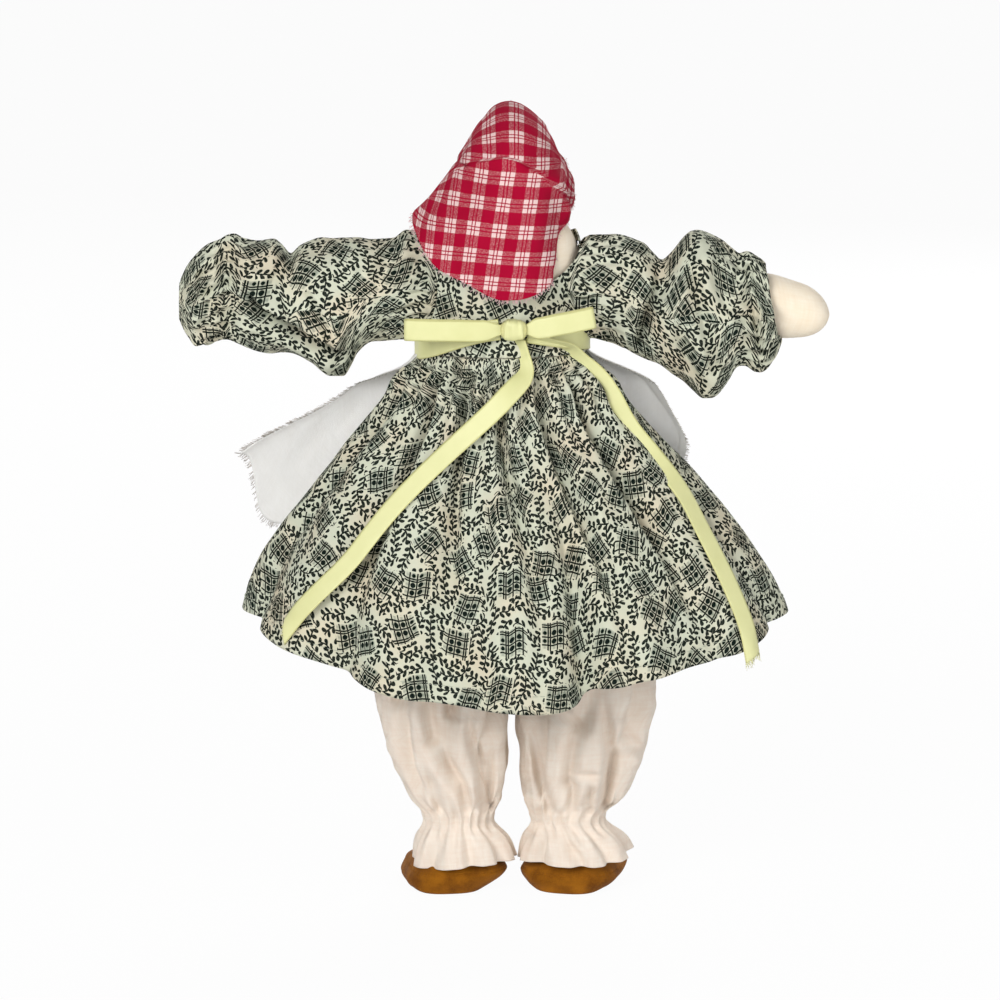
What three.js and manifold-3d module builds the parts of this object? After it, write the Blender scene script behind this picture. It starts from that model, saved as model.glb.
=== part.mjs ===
import * as THREE from 'three';
import { mergeVertices } from 'three/addons/utils/BufferGeometryUtils.js';
import Module from 'manifold-3d';

// Cloth duck doll, standing upright in its dress, apron, bloomers and kerchief.
// Millimetres, +Z up, the face towards -Y, the doll's left towards +X.
// The origin is on the floor under the middle of the doll.

// Cloth, ribbon and fits
const clothThickness = 1;
const ribbonThickness = 0.8;
const ribbonWidth = 10;
const elasticThickness = 0.8;
const elasticWidth = 4;
const sewnGap = 0.3; // between pieces that are sewn or pressed together
const wornGap = 0.6; // between a stuffed piece and the cloth worn over it
const swingGap = 1; // between a limb's cloth and what it swings past

// Heights, each counted from the one below it
const hipHeight = 190;
const hipToWaist = 73;
const waistToShoulder = 58;
const shoulderToHead = 32;

// Stuffed body and head
const torsoHalfWidth = 38;
const torsoHalfDepth = 26;
const headHalfWidth = 22;
const headRadius = 29;
const headLean = 6; // the head is set towards the doll's right
const headForward = 3;
const eyeRadius = 2.5;
const billLength = 32;
const billHalfWidth = 14;
const billHalfHeight = 7;

// Arms and hands
const armBelowShoulder = 21;
const armLength = 117;
const armHalfHeight = 14;
const armHalfDepth = 13;
const armSlope = 0.128; // fall of the arm for each millimetre outwards
const armholeRadius = 15;
const raiseLimit = 30; // degrees, the sleeve head leaves room for this swing
const lowerLimit = 15;

// Sleeves
const sleeveSeamHalfHeight = 18;
const sleeveFullHalfHeight = 28; // where the sleeve head has opened
const sleeveSeamHalfDepth = 17;
const leftRuffle = 21; // from the wrist elastic to the edge, over the left hand
const rightRuffle = 15.5;
const rightHandShown = 24; // of the right hand, past its ruffle
const wristHalfHeight = 17; // inside of the wrist elastic
const wristHalfDepth = 15;

// Legs, bloomers and feet
const legsShift = 5.5; // the legs stand this far towards the doll's right
const hipHalfSpacing = 29;
const ankleHalfSpacing = 27;
const legRadius = 15;
const ankleRadius = 14;
const footHeight = 19;
const footHalfWidth = 24;
const footToe = 55;
const footHeel = 20;
const footSplay = 6; // degrees, toes outwards
const ankleHeight = 36;
const bloomerHemHeight = 15;
const bloomerHemHalfWidth = 25.5;
const bloomerHemHalfDepth = 26;
const bloomerFullHeight = 105;
const bloomerFullHalfWidth = 32.5;
const bloomerFullHalfDepth = 29;
const bloomerTopHalfWidth = 24;
const bloomerTopHalfDepth = 26;
const bloomerTopRise = 6; // above the hip
const bloomerTopOffset = 2;
const seatBelowWaist = 13;
const seatAboveHip = 13;
const bloomerBow = 8.5; // the fullest part lies this far outside the ankle

// Skirt
const skirtHalfWidth = 133;
const skirtHalfDepth = 88;
const skirtBackDrop = 159;
const skirtSideDrop = 126;
const skirtSway = 6; // the hem lies this far towards the doll's right
const skirtBelly = 0.65; // rounding of the flare
const skirtFolds = 12;
const skirtFoldDepth = 11;

// Bodice neckline, below the shoulder
const necklineBackDrop = 20;
const necklineFrontDrop = 9;

// Apron
const apronLength = 95;
const apronTopHalfAngle = 82; // degrees each way from the front
const apronHemHalfAngle = 80;
const apronCornerRise = 26; // of the left corner above the hem
const apronWing = 40; // the left corner stands out this far from the skirt
const apronRightLift = 18;
const apronForward = 20; // the loose sides hang this far in front of the sleeves

// Ribbon and bow
const bandRise = 14; // middle of the waistband above the waist seam, at the knot
const bandSideDrop = 8; // it runs lower at the sides and the front
const knotOffset = 5.3; // the knot lies towards the doll's right
const knotHalfWidth = 6.5;
const knotHalfHeight = 6;
const knotHalfDepth = 4.2;
const leftLoopLength = 47;
const rightLoopLength = 33;
const loopHalfThickness = 3;
const rightLoopTilt = 8; // degrees upwards

// Kerchief
const hoodGap = 1; // between the head and the kerchief
const hoodEase = 1.5; // slack of the cloth at the sides of the head
const flapDrop = 61; // tip below the middle of the head
const flapStandOff = 7; // tip behind the bodice
const cornerDrop = 27;
const cornerStandOff = 5.5; // left corner outside the bodice
const strandRadius = 2.2;
const kerchiefKnotRadius = 4.6;
const kerchiefEndWidth = 9;

// Worked out from the sizes above
const waistHeight = hipHeight + hipToWaist;
const shoulderHeight = waistHeight + waistToShoulder;
const headCentre = new THREE.Vector3(-headLean, -headForward, shoulderHeight + shoulderToHead);
const bodiceHalfWidth = torsoHalfWidth + wornGap + clothThickness;
const bodiceHalfDepth = torsoHalfDepth + wornGap + clothThickness;
const armPivotX = torsoHalfWidth + 3 * sewnGap;
const leftSleeveLength = armLength;
const rightSleeveLength = armLength - rightHandShown;
const leftGatherReach = leftSleeveLength - leftRuffle;
const rightGatherReach = rightSleeveLength - rightRuffle;
const armPivotHeight = shoulderHeight - armBelowShoulder;
const bandHeight = waistHeight + bandRise;
const bandStandOff = 3 * sewnGap + ribbonThickness; // room for the apron's top under the ribbon
const ankleClothInner = ankleRadius + 2 * sewnGap + elasticThickness;
const wristClothGap = elasticThickness + sewnGap + clothThickness;

const { lerp, smoothstep, degToRad } = THREE.MathUtils;
const wasm = await Module();
wasm.setup();

// Closed solid from points and triangles, turned to face outwards.
function solidFrom(points, triangles) {
  const volume = triangles.reduce((sum, [a, b, c]) => {
    return sum + points[a].dot(new THREE.Vector3().crossVectors(points[b], points[c]));
  }, 0);
  const outward = volume > 0 ? triangles : triangles.map(([a, b, c]) => [a, c, b]);
  const geometry = new THREE.BufferGeometry().setFromPoints(points);
  geometry.setIndex(outward.flat());
  geometry.computeVertexNormals();
  return geometry;
}

function ringOf(count, place) {
  return Array.from({ length: count }, (_, i) => place((i / count) * 2 * Math.PI));
}

// Triangles between neighbouring rings of equal count; wrap joins the last ring to the first.
function stitchRings(ringCount, pointCount, wrap) {
  const triangles = [];
  for (let r = 0; r < (wrap ? ringCount : ringCount - 1); r += 1) {
    const near = r * pointCount;
    const far = ((r + 1) % ringCount) * pointCount;
    for (let i = 0; i < pointCount; i += 1) {
      const j = (i + 1) % pointCount;
      triangles.push([near + i, near + j, far + j], [near + i, far + j, far + i]);
    }
  }
  return triangles;
}

// Loft through rings, closed by a fan at each end.
function loft(rings) {
  const count = rings[0].length;
  const points = rings.flat();
  const triangles = stitchRings(rings.length, count, false);
  const capEnd = (ring, offset, flip) => {
    const hub = points.length;
    const middle = ring.reduce((sum, p) => sum.add(p), new THREE.Vector3()).divideScalar(count);
    points.push(middle);
    for (let i = 0; i < count; i += 1) {
      const [a, b] = [offset + i, offset + ((i + 1) % count)];
      triangles.push(flip ? [hub, b, a] : [hub, a, b]);
    }
  };
  capEnd(rings[0], 0, true);
  capEnd(rings.at(-1), (rings.length - 1) * count, false);
  return solidFrom(points, triangles);
}

// Open-ended cloth tube with a wall between its outer and inner rings.
function tubeOf(outer, inner) {
  const rings = [...outer, ...inner.toReversed()];
  return solidFrom(rings.flat(), stitchRings(rings.length, rings[0].length, true));
}

// Sheet of cloth between two grids of rows: each ring runs out over the face and back under it.
function sheetOf(face, back) {
  const rings = face.map((row, r) => [...row, ...back[r].toReversed()]);
  const count = rings[0].length;
  const triangles = stitchRings(rings.length, count, false);
  for (const [start, flip] of [[0, true], [(rings.length - 1) * count, false]]) {
    for (let i = 0; i < count / 2 - 1; i += 1) {
      const [a, b, c, d] = [i, i + 1, count - 2 - i, count - 1 - i].map((n) => start + n);
      triangles.push(...(flip ? [[a, c, b], [a, d, c]] : [[a, b, c], [a, c, d]]));
    }
  }
  return solidFrom(rings.flat(), triangles);
}

// Flat ribbon along points, with its face turned to the given normals.
function ribbonAlong(points, normals, width, thickness) {
  const rings = points.map((point, i) => {
    const before = points[Math.max(i - 1, 0)];
    const after = points[Math.min(i + 1, points.length - 1)];
    const along = after.clone().sub(before).normalize();
    const across = new THREE.Vector3().crossVectors(along, normals[i]).setLength(width / 2);
    const lift = new THREE.Vector3().crossVectors(across, along).setLength(thickness / 2);
    return [[1, 1], [-1, 1], [-1, -1], [1, -1]].map(([a, l]) => {
      return point.clone().addScaledVector(across, a).addScaledVector(lift, l);
    });
  });
  return loft(rings);
}

function toManifold(geometry) {
  const bare = geometry.clone();
  bare.deleteAttribute('normal');
  bare.deleteAttribute('uv');
  const merged = mergeVertices(bare);
  return new wasm.Manifold(new wasm.Mesh({
    numProp: 3,
    vertProperties: new Float32Array(merged.attributes.position.array),
    triVerts: new Uint32Array(merged.index.array),
  }));
}

function fromManifold(solid) {
  const mesh = solid.getMesh();
  const geometry = new THREE.BufferGeometry();
  geometry.setAttribute('position', new THREE.BufferAttribute(mesh.vertProperties, 3));
  geometry.setIndex(new THREE.BufferAttribute(mesh.triVerts, 1));
  geometry.computeVertexNormals();
  return geometry;
}

const cutBy = (geometry, tool) => fromManifold(toManifold(geometry).subtract(toManifold(tool)));
const joinTo = (geometry, other) => fromManifold(toManifold(geometry).add(toManifold(other)));

// Smooth values between the rows of a table whose first column rises, flat where a column turns back.
function sample(rows, key) {
  const last = rows.length - 1;
  if (key <= rows[0][0]) return rows[0].slice(1);
  if (key >= rows[last][0]) return rows[last].slice(1);
  const i = rows.findIndex((row, n) => key < rows[n + 1][0]);
  const span = rows[i + 1][0] - rows[i][0];
  const f = (key - rows[i][0]) / span;
  const slope = (n, c) => {
    const [a, b] = [rows[Math.max(n - 1, 0)], rows[Math.min(n + 1, last)]];
    const turnsBack = n > 0 && n < last && (rows[n][c] - a[c]) * (b[c] - rows[n][c]) <= 0;
    return turnsBack ? 0 : (b[c] - a[c]) / (b[0] - a[0]);
  };
  return rows[i].slice(1).map((start, column) => {
    const c = column + 1;
    const startPull = (f ** 3 - 2 * f ** 2 + f) * span * slope(i, c);
    const endPull = (f ** 3 - f ** 2) * span * slope(i + 1, c);
    const ease = 3 * f ** 2 - 2 * f ** 3;
    return lerp(start, rows[i + 1][c], ease) + startPull + endPull;
  });
}

const steps = (count, from, to) => Array.from({ length: count + 1 }, (_, i) => lerp(from, to, i / count));

// Point of an upright oval: angle 0 at the back, growing towards the doll's left.
function ovalPoint(x, z, halfWidth, halfDepth, angle) {
  return new THREE.Vector3(x + halfWidth * Math.sin(angle), halfDepth * Math.cos(angle), z);
}

// Stuffed torso: the outline rises from the hip seam to the neck.
const torsoBottom = hipHeight + legRadius + sewnGap;
const torsoOutline = [
  [torsoBottom, 0.74 * torsoHalfWidth, 0.5 * torsoHalfDepth],
  [torsoBottom + 4, 0.9 * torsoHalfWidth, 0.8 * torsoHalfDepth],
  [torsoBottom + 15, torsoHalfWidth, torsoHalfDepth],
  [shoulderHeight - 22, torsoHalfWidth, torsoHalfDepth],
  [shoulderHeight - 8, 0.95 * torsoHalfWidth, 0.9 * torsoHalfDepth],
  [shoulderHeight, 0.86 * torsoHalfWidth, 0.78 * torsoHalfDepth],
  [shoulderHeight + 7, 0.7 * torsoHalfWidth, 0.62 * torsoHalfDepth],
  [shoulderHeight + 12, 0.52 * torsoHalfWidth, 0.5 * torsoHalfDepth],
];
const bodySides = 28;

function headShape(grow) {
  const ball = new THREE.SphereGeometry(1, 20, 12);
  ball.rotateZ(Math.PI / 2);
  ball.scale(headHalfWidth + grow, headRadius + grow, headRadius + grow);
  ball.translate(...headCentre);
  return ball;
}

function torsoShape() {
  const heights = [...torsoOutline.map((row) => row[0]), waistHeight].sort((a, b) => a - b);
  const rings = heights.map((z) => {
    const [halfWidth, halfDepth] = sample(torsoOutline, z);
    return ringOf(bodySides, (angle) => ovalPoint(0, z, halfWidth, halfDepth, angle));
  });
  return cutBy(loft(rings), headShape(wornGap));
}

// Bodice: the torso's outline let out by the cloth, with a scooped neck and round armholes.
function bodiceRing(share, standOff) {
  return ringOf(bodySides, (angle) => {
    const scoop = Math.cos(angle) > 0 ? necklineBackDrop : necklineFrontDrop;
    const top = shoulderHeight - scoop * Math.cos(angle) ** 2;
    const z = lerp(waistHeight, top, share);
    const [halfWidth, halfDepth] = sample(torsoOutline, z);
    return ovalPoint(0, z, halfWidth + standOff, halfDepth + standOff, angle);
  });
}

function bodiceShape() {
  const shares = steps(5, 0, 1);
  const outer = shares.map((share) => bodiceRing(share, wornGap + clothThickness));
  const inner = shares.map((share) => bodiceRing(share, wornGap));
  const armholes = new THREE.CylinderGeometry(armholeRadius, armholeRadius, 4 * bodiceHalfWidth, 24);
  armholes.rotateZ(Math.PI / 2);
  armholes.translate(0, 0, armPivotHeight);
  return cutBy(tubeOf(outer, inner), armholes);
}

// Outermost surface of the dress at a height, let out by standOff.
function skirtDrop(angle) {
  return lerp(skirtBackDrop, skirtSideDrop, Math.sin(angle) ** 2);
}

function dressSurface(z, angle, standOff) {
  const fall = Math.max(0, (waistHeight - z) / skirtDrop(angle));
  const flare = fall + skirtBelly * fall ** 2 * (1 - fall);
  const halfWidth = lerp(bodiceHalfWidth, skirtHalfWidth, flare) + standOff;
  const halfDepth = lerp(bodiceHalfDepth, skirtHalfDepth, flare) + standOff;
  return ovalPoint(-skirtSway * fall, z, halfWidth, halfDepth, angle);
}

// Skirt: gathered at the waist, with folds that deepen towards the hem.
function skirtRing(fall, standOff) {
  return ringOf(4 * skirtFolds, (angle) => {
    const z = waistHeight - sewnGap - fall * skirtDrop(angle);
    const unevenness = 0.75 + 0.25 * Math.sin(2 * angle + 1);
    const fold = skirtFoldDepth * fall * unevenness * (0.5 - 0.5 * Math.cos(skirtFolds * angle));
    return dressSurface(z, angle, standOff - fold);
  });
}

function skirtShape() {
  const falls = [0, 0.14, 0.32, 0.54, 0.77, 1];
  const outer = falls.map((fall) => skirtRing(fall, 0));
  const inner = falls.map((fall) => skirtRing(fall, -clothThickness));
  return tubeOf(outer, inner);
}

// Height of the ribbon's middle: level at the knot, lower from the sides to the front.
function bandMiddle(angle) {
  return bandHeight - bandSideDrop * smoothstep(1 - Math.cos(angle), 0, 1);
}

// Apron: hangs from the waistband over the front of the skirt.
// Its sides are loose and its left corner stands out.
const bandShare = ribbonWidth / apronLength; // of the apron's length, held under the ribbon

function apronPoint(across, down, standOff) {
  const front = across * degToRad(lerp(apronTopHalfAngle, apronHemHalfAngle, down));
  const cornerRise = apronCornerRise * smoothstep(across, 0.6, 1) * smoothstep(down, bandShare, 1);
  const z = bandMiddle(Math.PI) + ribbonWidth / 2 - down * apronLength + cornerRise;
  const loose = smoothstep(down, bandShare, 3 * bandShare);
  const wing = apronWing * loose * down * smoothstep(across, 0.35, 1);
  const bulge = Math.sin(Math.PI * Math.sqrt(down));
  const rightLift = apronRightLift * loose * smoothstep(-across, 0.5, 1) * bulge;
  const point = dressSurface(z, Math.PI - front, standOff + down + wing + rightLift);
  point.y -= apronForward * loose * smoothstep(Math.abs(across), 0.5, 1);
  return point;
}

function apronShape() {
  const rows = [0, bandShare, 1.8 * bandShare, 0.28, 0.44, 0.7, 1];
  const columns = steps(20, -1, 1);
  const grid = (standOff) => rows.map((down) => columns.map((across) => apronPoint(across, down, standOff)));
  return sheetOf(grid(sewnGap + ribbonThickness), grid(sewnGap));
}

// Waist ribbon: a band round the bodice whose two ends rise into the knot at the back.
function waistbandShape() {
  const middle = bandStandOff + ribbonThickness / 2;
  const halfWidth = bodiceHalfWidth + middle;
  const halfDepth = bodiceHalfDepth + middle;
  const from = Math.asin((knotHalfWidth + sewnGap - knotOffset) / halfWidth);
  const to = 2 * Math.PI + Math.asin((-knotHalfWidth - sewnGap - knotOffset) / halfWidth);
  const angles = steps(36, from, to);
  const points = angles.map((angle) => ovalPoint(0, bandMiddle(angle), halfWidth, halfDepth, angle));
  const normals = angles.map((angle) => ovalPoint(0, 0, halfDepth, halfWidth, angle));
  return ribbonAlong(points, normals, ribbonWidth, ribbonThickness);
}

const knotCentre = new THREE.Vector3(-knotOffset, bodiceHalfDepth + sewnGap + knotHalfDepth, bandHeight);

function knotShape() {
  const ball = new THREE.SphereGeometry(1, 14, 8);
  ball.scale(knotHalfWidth, knotHalfDepth, knotHalfHeight);
  ball.translate(...knotCentre);
  return ball;
}

// Bow loop: the ribbon runs out from the knot, turns round and comes back.
function loopOutline(length, inset) {
  const end = length - loopHalfThickness;
  const turn = loopHalfThickness - inset;
  const root = inset > 0 ? 3 * inset : 0;
  const rootHalf = 1.6 * ribbonThickness - inset;
  const outline = new THREE.Shape();
  outline.moveTo(root, -rootHalf);
  outline.lineTo(end, -turn);
  outline.absarc(end, 0, turn, -Math.PI / 2, Math.PI / 2);
  outline.lineTo(root, rootHalf);
  outline.closePath();
  return outline;
}

function loopShape(side, length, tilt) {
  const shape = loopOutline(length, 0);
  shape.holes.push(loopOutline(length, ribbonThickness));
  const options = { depth: ribbonWidth, bevelEnabled: false, curveSegments: 8 };
  const loop = new THREE.ExtrudeGeometry(shape, options);
  loop.translate(0, 0, -ribbonWidth / 2);
  loop.rotateY(-degToRad(tilt));
  loop.rotateZ(side > 0 ? 0 : Math.PI);
  loop.translate(knotCentre.x + side * (knotHalfWidth + sewnGap), knotCentre.y, knotCentre.z);
  return loop;
}

// Ribbon tails: routes over the back of the skirt.
// Rows of [drop below the waistband, angle from the back, stand-off].
const tailStandOff = 1.6;
const bandCrossing = bandStandOff + 2 * ribbonThickness + sewnGap;
const leftTailRoute = [
  [7, -11.5, tailStandOff],
  [18, -13.5, tailStandOff],
  [30, -2, tailStandOff],
  [55, 22, tailStandOff],
  [78, 35.5, tailStandOff],
  [110, 45, tailStandOff],
  [142, 57, tailStandOff],
];
const rightTailRoute = [
  [9, -23, bandCrossing],
  [15, -46, bandCrossing],
  [27, -64, tailStandOff],
  [68, -63.5, tailStandOff],
  [114, -58, tailStandOff],
  [155, -57, tailStandOff],
];

function tailShape(route) {
  const last = route.length - 1;
  const drops = steps(3 * last, 0, last).map((at) => {
    const i = Math.min(Math.floor(at), last - 1);
    return lerp(route[i][0], route[i + 1][0], at - i);
  });
  const points = drops.map((drop) => {
    const [angle, standOff] = sample(route, drop);
    return dressSurface(bandHeight - drop, degToRad(angle), standOff);
  });
  const normals = drops.map((drop, i) => {
    const [angle, standOff] = sample(route, drop);
    const sideways = dressSurface(bandHeight - drop, degToRad(angle + 1), standOff).sub(points[i]);
    const downwards = dressSurface(bandHeight - drop - 1, degToRad(angle), standOff).sub(points[i]);
    return new THREE.Vector3().crossVectors(downwards, sideways).normalize();
  });
  return ribbonAlong(points, normals, ribbonWidth, ribbonThickness);
}

// Arm: sewn flat at the shoulder seam, round inside the sleeve, ending in a mitten hand.
const armOutline = [
  [-0.5, 0.9, 8],
  [4, 4.2, 9.5],
  [10, 9.5, 0.88 * armHalfDepth],
  [18, 0.93 * armHalfHeight, armHalfDepth],
  [45, armHalfHeight, armHalfDepth],
  [0.68 * armLength, 0.96 * armHalfHeight, 0.96 * armHalfDepth],
  [0.84 * armLength, 1.04 * armHalfHeight, 0.88 * armHalfDepth],
  [0.925 * armLength, 0.96 * armHalfHeight, 0.8 * armHalfDepth],
  [0.975 * armLength, 0.62 * armHalfHeight, 0.55 * armHalfDepth],
  [armLength, 0.2 * armHalfHeight, 0.2 * armHalfDepth],
];

function armShape(side) {
  const rings = armOutline.map(([reach, halfHeight, halfDepth]) => ringOf(16, (angle) => {
    const z = armPivotHeight - armSlope * Math.max(reach, 0) + halfHeight * Math.sin(angle);
    return new THREE.Vector3(side * (armPivotX + reach), -halfDepth * Math.cos(angle), z);
  }));
  return loft(rings);
}

// The wrist elastic hangs on the top of the arm.
function wristDrop(reach) {
  const [halfHeight] = sample(armOutline, reach);
  return armSlope * reach - halfHeight - sewnGap + wristHalfHeight;
}

function wristElasticShape(side, reach) {
  const ring = (at, grow) => ringOf(20, (angle) => new THREE.Vector3(
    side * (armPivotX + at),
    -(wristHalfDepth + grow) * Math.cos(angle),
    armPivotHeight - wristDrop(reach) + (wristHalfHeight + grow) * Math.sin(angle),
  ));
  const ends = [reach - elasticWidth / 2, reach + elasticWidth / 2];
  return tubeOf(ends.map((at) => ring(at, elasticThickness)), ends.map((at) => ring(at, 0)));
}

// Sleeves: rows of [reach from the shoulder seam, drop, half height, half depth, flutes].
function gatherRows(reach) {
  const halfHeight = wristHalfHeight + wristClothGap;
  const halfDepth = wristHalfDepth + wristClothGap;
  const ends = [reach - 0.6 * elasticWidth, reach + 0.6 * elasticWidth];
  return ends.map((at) => [at, wristDrop(reach), halfHeight, halfDepth, 0]);
}

const leftSleeve = {
  length: leftSleeveLength,
  gather: leftGatherReach,
  rows: [
    [-8, -1, sleeveSeamHalfHeight, sleeveSeamHalfDepth, 0],
    [4, -1, sleeveSeamHalfHeight, sleeveSeamHalfDepth, 0],
    [13, 5, sleeveFullHalfHeight - 2, sleeveSeamHalfDepth + 2, 0],
    [37, 16, 33, 25, 0.03],
    [63, 14, 27, 24, 0.03],
    [leftGatherReach - 9, 8, 25, 22, 0.04],
    ...gatherRows(leftGatherReach),
    [leftSleeveLength, 15, 21, 19.5, 0.1],
  ],
};
const rightSleeve = {
  length: rightSleeveLength,
  gather: rightGatherReach,
  rows: [
    [-8, -1, sleeveSeamHalfHeight, sleeveSeamHalfDepth, 0],
    [4, -1, sleeveSeamHalfHeight, sleeveSeamHalfDepth, 0],
    [13, 5, sleeveFullHalfHeight - 2, sleeveSeamHalfDepth + 2, 0],
    [27, 11, 30, 23, 0.03],
    [42, 16, 29, 25, 0.03],
    [57, 20, 38, 26, 0.03],
    [rightGatherReach - 8, 16, 32, 24, 0.03],
    ...gatherRows(rightGatherReach),
    [rightSleeveLength, 16, 22, 20, 0.1],
  ],
};

// The sleeve head follows the side of the bodice and opens above and below for the swing of the arm.
function sleeveStart(angle) {
  const y = sleeveSeamHalfDepth * Math.cos(angle);
  const bodiceX = bodiceHalfWidth * Math.sqrt(1 - (y / bodiceHalfDepth) ** 2);
  const rise = sleeveFullHalfHeight * Math.sin(angle);
  const overBand = (bandStandOff + ribbonThickness) * Math.max(0, -Math.sin(angle));
  const room = rise > 0 ? rise * Math.tan(degToRad(raiseLimit)) : -rise * Math.tan(degToRad(lowerLimit));
  return bodiceX - armPivotX + swingGap + overBand + room;
}

function sleeveRing(side, sleeve, share, inset) {
  return ringOf(20, (angle) => {
    const reach = share <= 1 ? lerp(sleeveStart(angle), sleeve.gather, share) : share * sleeve.gather;
    const [drop, halfHeight, halfDepth, flutes] = sample(sleeve.rows, reach);
    const swell = 1 + flutes * Math.cos(5 * angle);
    const y = -(halfDepth * swell - inset) * Math.cos(angle);
    const z = armPivotHeight - drop + (halfHeight * swell - inset) * Math.sin(angle);
    return new THREE.Vector3(side * (armPivotX + reach), y, z);
  });
}

function sleeveShape(side, sleeve) {
  const pastElastic = 1 + elasticWidth / 2 / sleeve.gather;
  const end = sleeve.length / sleeve.gather;
  const shares = [0, 0.1, 0.22, 0.36, 0.5, 0.64, 0.78, 0.9, 2 - pastElastic];
  shares.push(pastElastic, lerp(pastElastic, end, 0.4), end);
  const outer = shares.map((share) => sleeveRing(side, sleeve, share, 0));
  const inner = shares.map((share) => sleeveRing(side, sleeve, share, clothThickness));
  return tubeOf(outer, inner);
}

// Leg: rounded about the hip axis, so that it swings under the torso.
const legX = (side, halfSpacing) => side * halfSpacing - legsShift;

function legShape(side) {
  const hipX = legX(side, hipHalfSpacing);
  const ankleX = legX(side, ankleHalfSpacing);
  const domeRings = [75, 50, 25].map((degrees) => {
    const lift = degToRad(degrees);
    const halfWidth = legRadius * Math.sqrt(Math.cos(lift));
    const z = hipHeight + legRadius * Math.sin(lift);
    return ringOf(18, (angle) => ovalPoint(hipX, z, halfWidth, legRadius * Math.cos(lift), angle));
  });
  const shankTop = ankleHeight + elasticWidth;
  const shankRings = steps(4, 0, 1).map((share) => {
    const radius = lerp(legRadius, ankleRadius, share);
    const z = lerp(hipHeight, shankTop, share);
    return ringOf(18, (angle) => ovalPoint(lerp(hipX, ankleX, share), z, radius, radius, angle));
  });
  const soleZ = footHeight + sewnGap;
  const ankleRing = ringOf(18, (angle) => ovalPoint(ankleX, soleZ, ankleRadius, ankleRadius, angle));
  return loft([...domeRings, ...shankRings, ankleRing]);
}

// Bloomer leg: rows of [height, offset outwards, half width, half depth, flutes].
const ankleClothOuter = ankleClothInner + clothThickness;
const hemSpread = 0.7;
const bloomerTop = hipHeight + bloomerTopRise;
const bloomerUpperHeight = lerp(bloomerFullHeight, bloomerTop, 0.6);
const bloomerRows = [
  [
    bloomerHemHeight,
    ankleHalfSpacing,
    bloomerHemHalfWidth,
    bloomerHemHalfDepth,
    0.06,
  ],
  [
    lerp(bloomerHemHeight, ankleHeight, 0.5),
    ankleHalfSpacing,
    lerp(ankleClothOuter, bloomerHemHalfWidth, hemSpread),
    lerp(ankleClothOuter, bloomerHemHalfDepth, hemSpread),
    0.05,
  ],
  [ankleHeight - 0.6 * elasticWidth, ankleHalfSpacing, ankleClothOuter, ankleClothOuter, 0],
  [ankleHeight + 0.6 * elasticWidth, ankleHalfSpacing, ankleClothOuter, ankleClothOuter, 0],
  [
    lerp(ankleHeight, bloomerFullHeight, 0.22),
    ankleHalfSpacing + 0.3 * bloomerBow,
    0.75 * bloomerFullHalfWidth,
    0.8 * bloomerFullHalfDepth,
    0.03,
  ],
  [
    lerp(ankleHeight, bloomerFullHeight, 0.55),
    ankleHalfSpacing + 0.76 * bloomerBow,
    0.95 * bloomerFullHalfWidth,
    0.97 * bloomerFullHalfDepth,
    0.02,
  ],
  [bloomerFullHeight, ankleHalfSpacing + bloomerBow, bloomerFullHalfWidth, bloomerFullHalfDepth, 0.02],
  [
    bloomerUpperHeight,
    hipHalfSpacing + 0.47 * bloomerBow,
    lerp(bloomerFullHalfWidth, bloomerTopHalfWidth, 0.4),
    lerp(bloomerFullHalfDepth, bloomerTopHalfDepth, 0.35),
    0.01,
  ],
  [bloomerTop, hipHalfSpacing + bloomerTopOffset, bloomerTopHalfWidth, bloomerTopHalfDepth, 0],
];

function bloomerLegShape(side) {
  const heights = [...bloomerRows.map((row) => row[0]), lerp(bloomerFullHeight, bloomerUpperHeight, 0.5)];
  const ring = (z, inset) => ringOf(20, (angle) => {
    const [offset, halfWidth, halfDepth, flutes] = sample(bloomerRows, z);
    const swell = 1 - flutes * (0.5 - 0.5 * Math.cos(5 * angle));
    return ovalPoint(legX(side, offset), z, halfWidth * swell - inset, halfDepth * swell - inset, angle);
  });
  const sorted = heights.sort((a, b) => a - b);
  return tubeOf(sorted.map((z) => ring(z, 0)), sorted.map((z) => ring(z, clothThickness)));
}

function bandRing(x, height, halfWidth, halfDepth, sides) {
  const ends = [height - elasticWidth / 2, height + elasticWidth / 2];
  const ring = (z, grow) => ringOf(sides, (angle) => {
    return ovalPoint(x, z, halfWidth + grow, halfDepth + grow, angle);
  });
  return tubeOf(ends.map((z) => ring(z, elasticThickness)), ends.map((z) => ring(z, 0)));
}

// Seat of the bloomers: from the elastic at the waist down over the tops of the legs.
const seatElasticHeight = waistHeight - seatBelowWaist;
const seatTopHeight = seatElasticHeight + elasticWidth;
const seatBottomHeight = hipHeight + seatAboveHip;
const seatWaistGap = 2 * sewnGap + elasticThickness + clothThickness;
const seatHalfWidth = hipHalfSpacing + bloomerTopOffset + bloomerTopHalfWidth + swingGap + clothThickness;
const seatHalfDepth = bloomerTopHalfDepth + 2 * swingGap + clothThickness;

function seatShape() {
  const rows = steps(4, 0, 1);
  const ring = (share, inset) => ringOf(bodySides, (angle) => {
    const spread = smoothstep(share, 0.1, 0.9);
    const squareness = lerp(1, 0.5, spread);
    const halfWidth = lerp(torsoHalfWidth + seatWaistGap, seatHalfWidth, spread) - inset;
    const halfDepth = lerp(torsoHalfDepth + seatWaistGap, seatHalfDepth, spread) - inset;
    const across = Math.sign(Math.sin(angle)) * Math.abs(Math.sin(angle)) ** squareness;
    const along = Math.sign(Math.cos(angle)) * Math.abs(Math.cos(angle)) ** squareness;
    const z = lerp(seatTopHeight, seatBottomHeight, share);
    return new THREE.Vector3(-legsShift * spread + halfWidth * across, halfDepth * along, z);
  });
  return tubeOf(rows.map((share) => ring(share, 0)), rows.map((share) => ring(share, clothThickness)));
}

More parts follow.
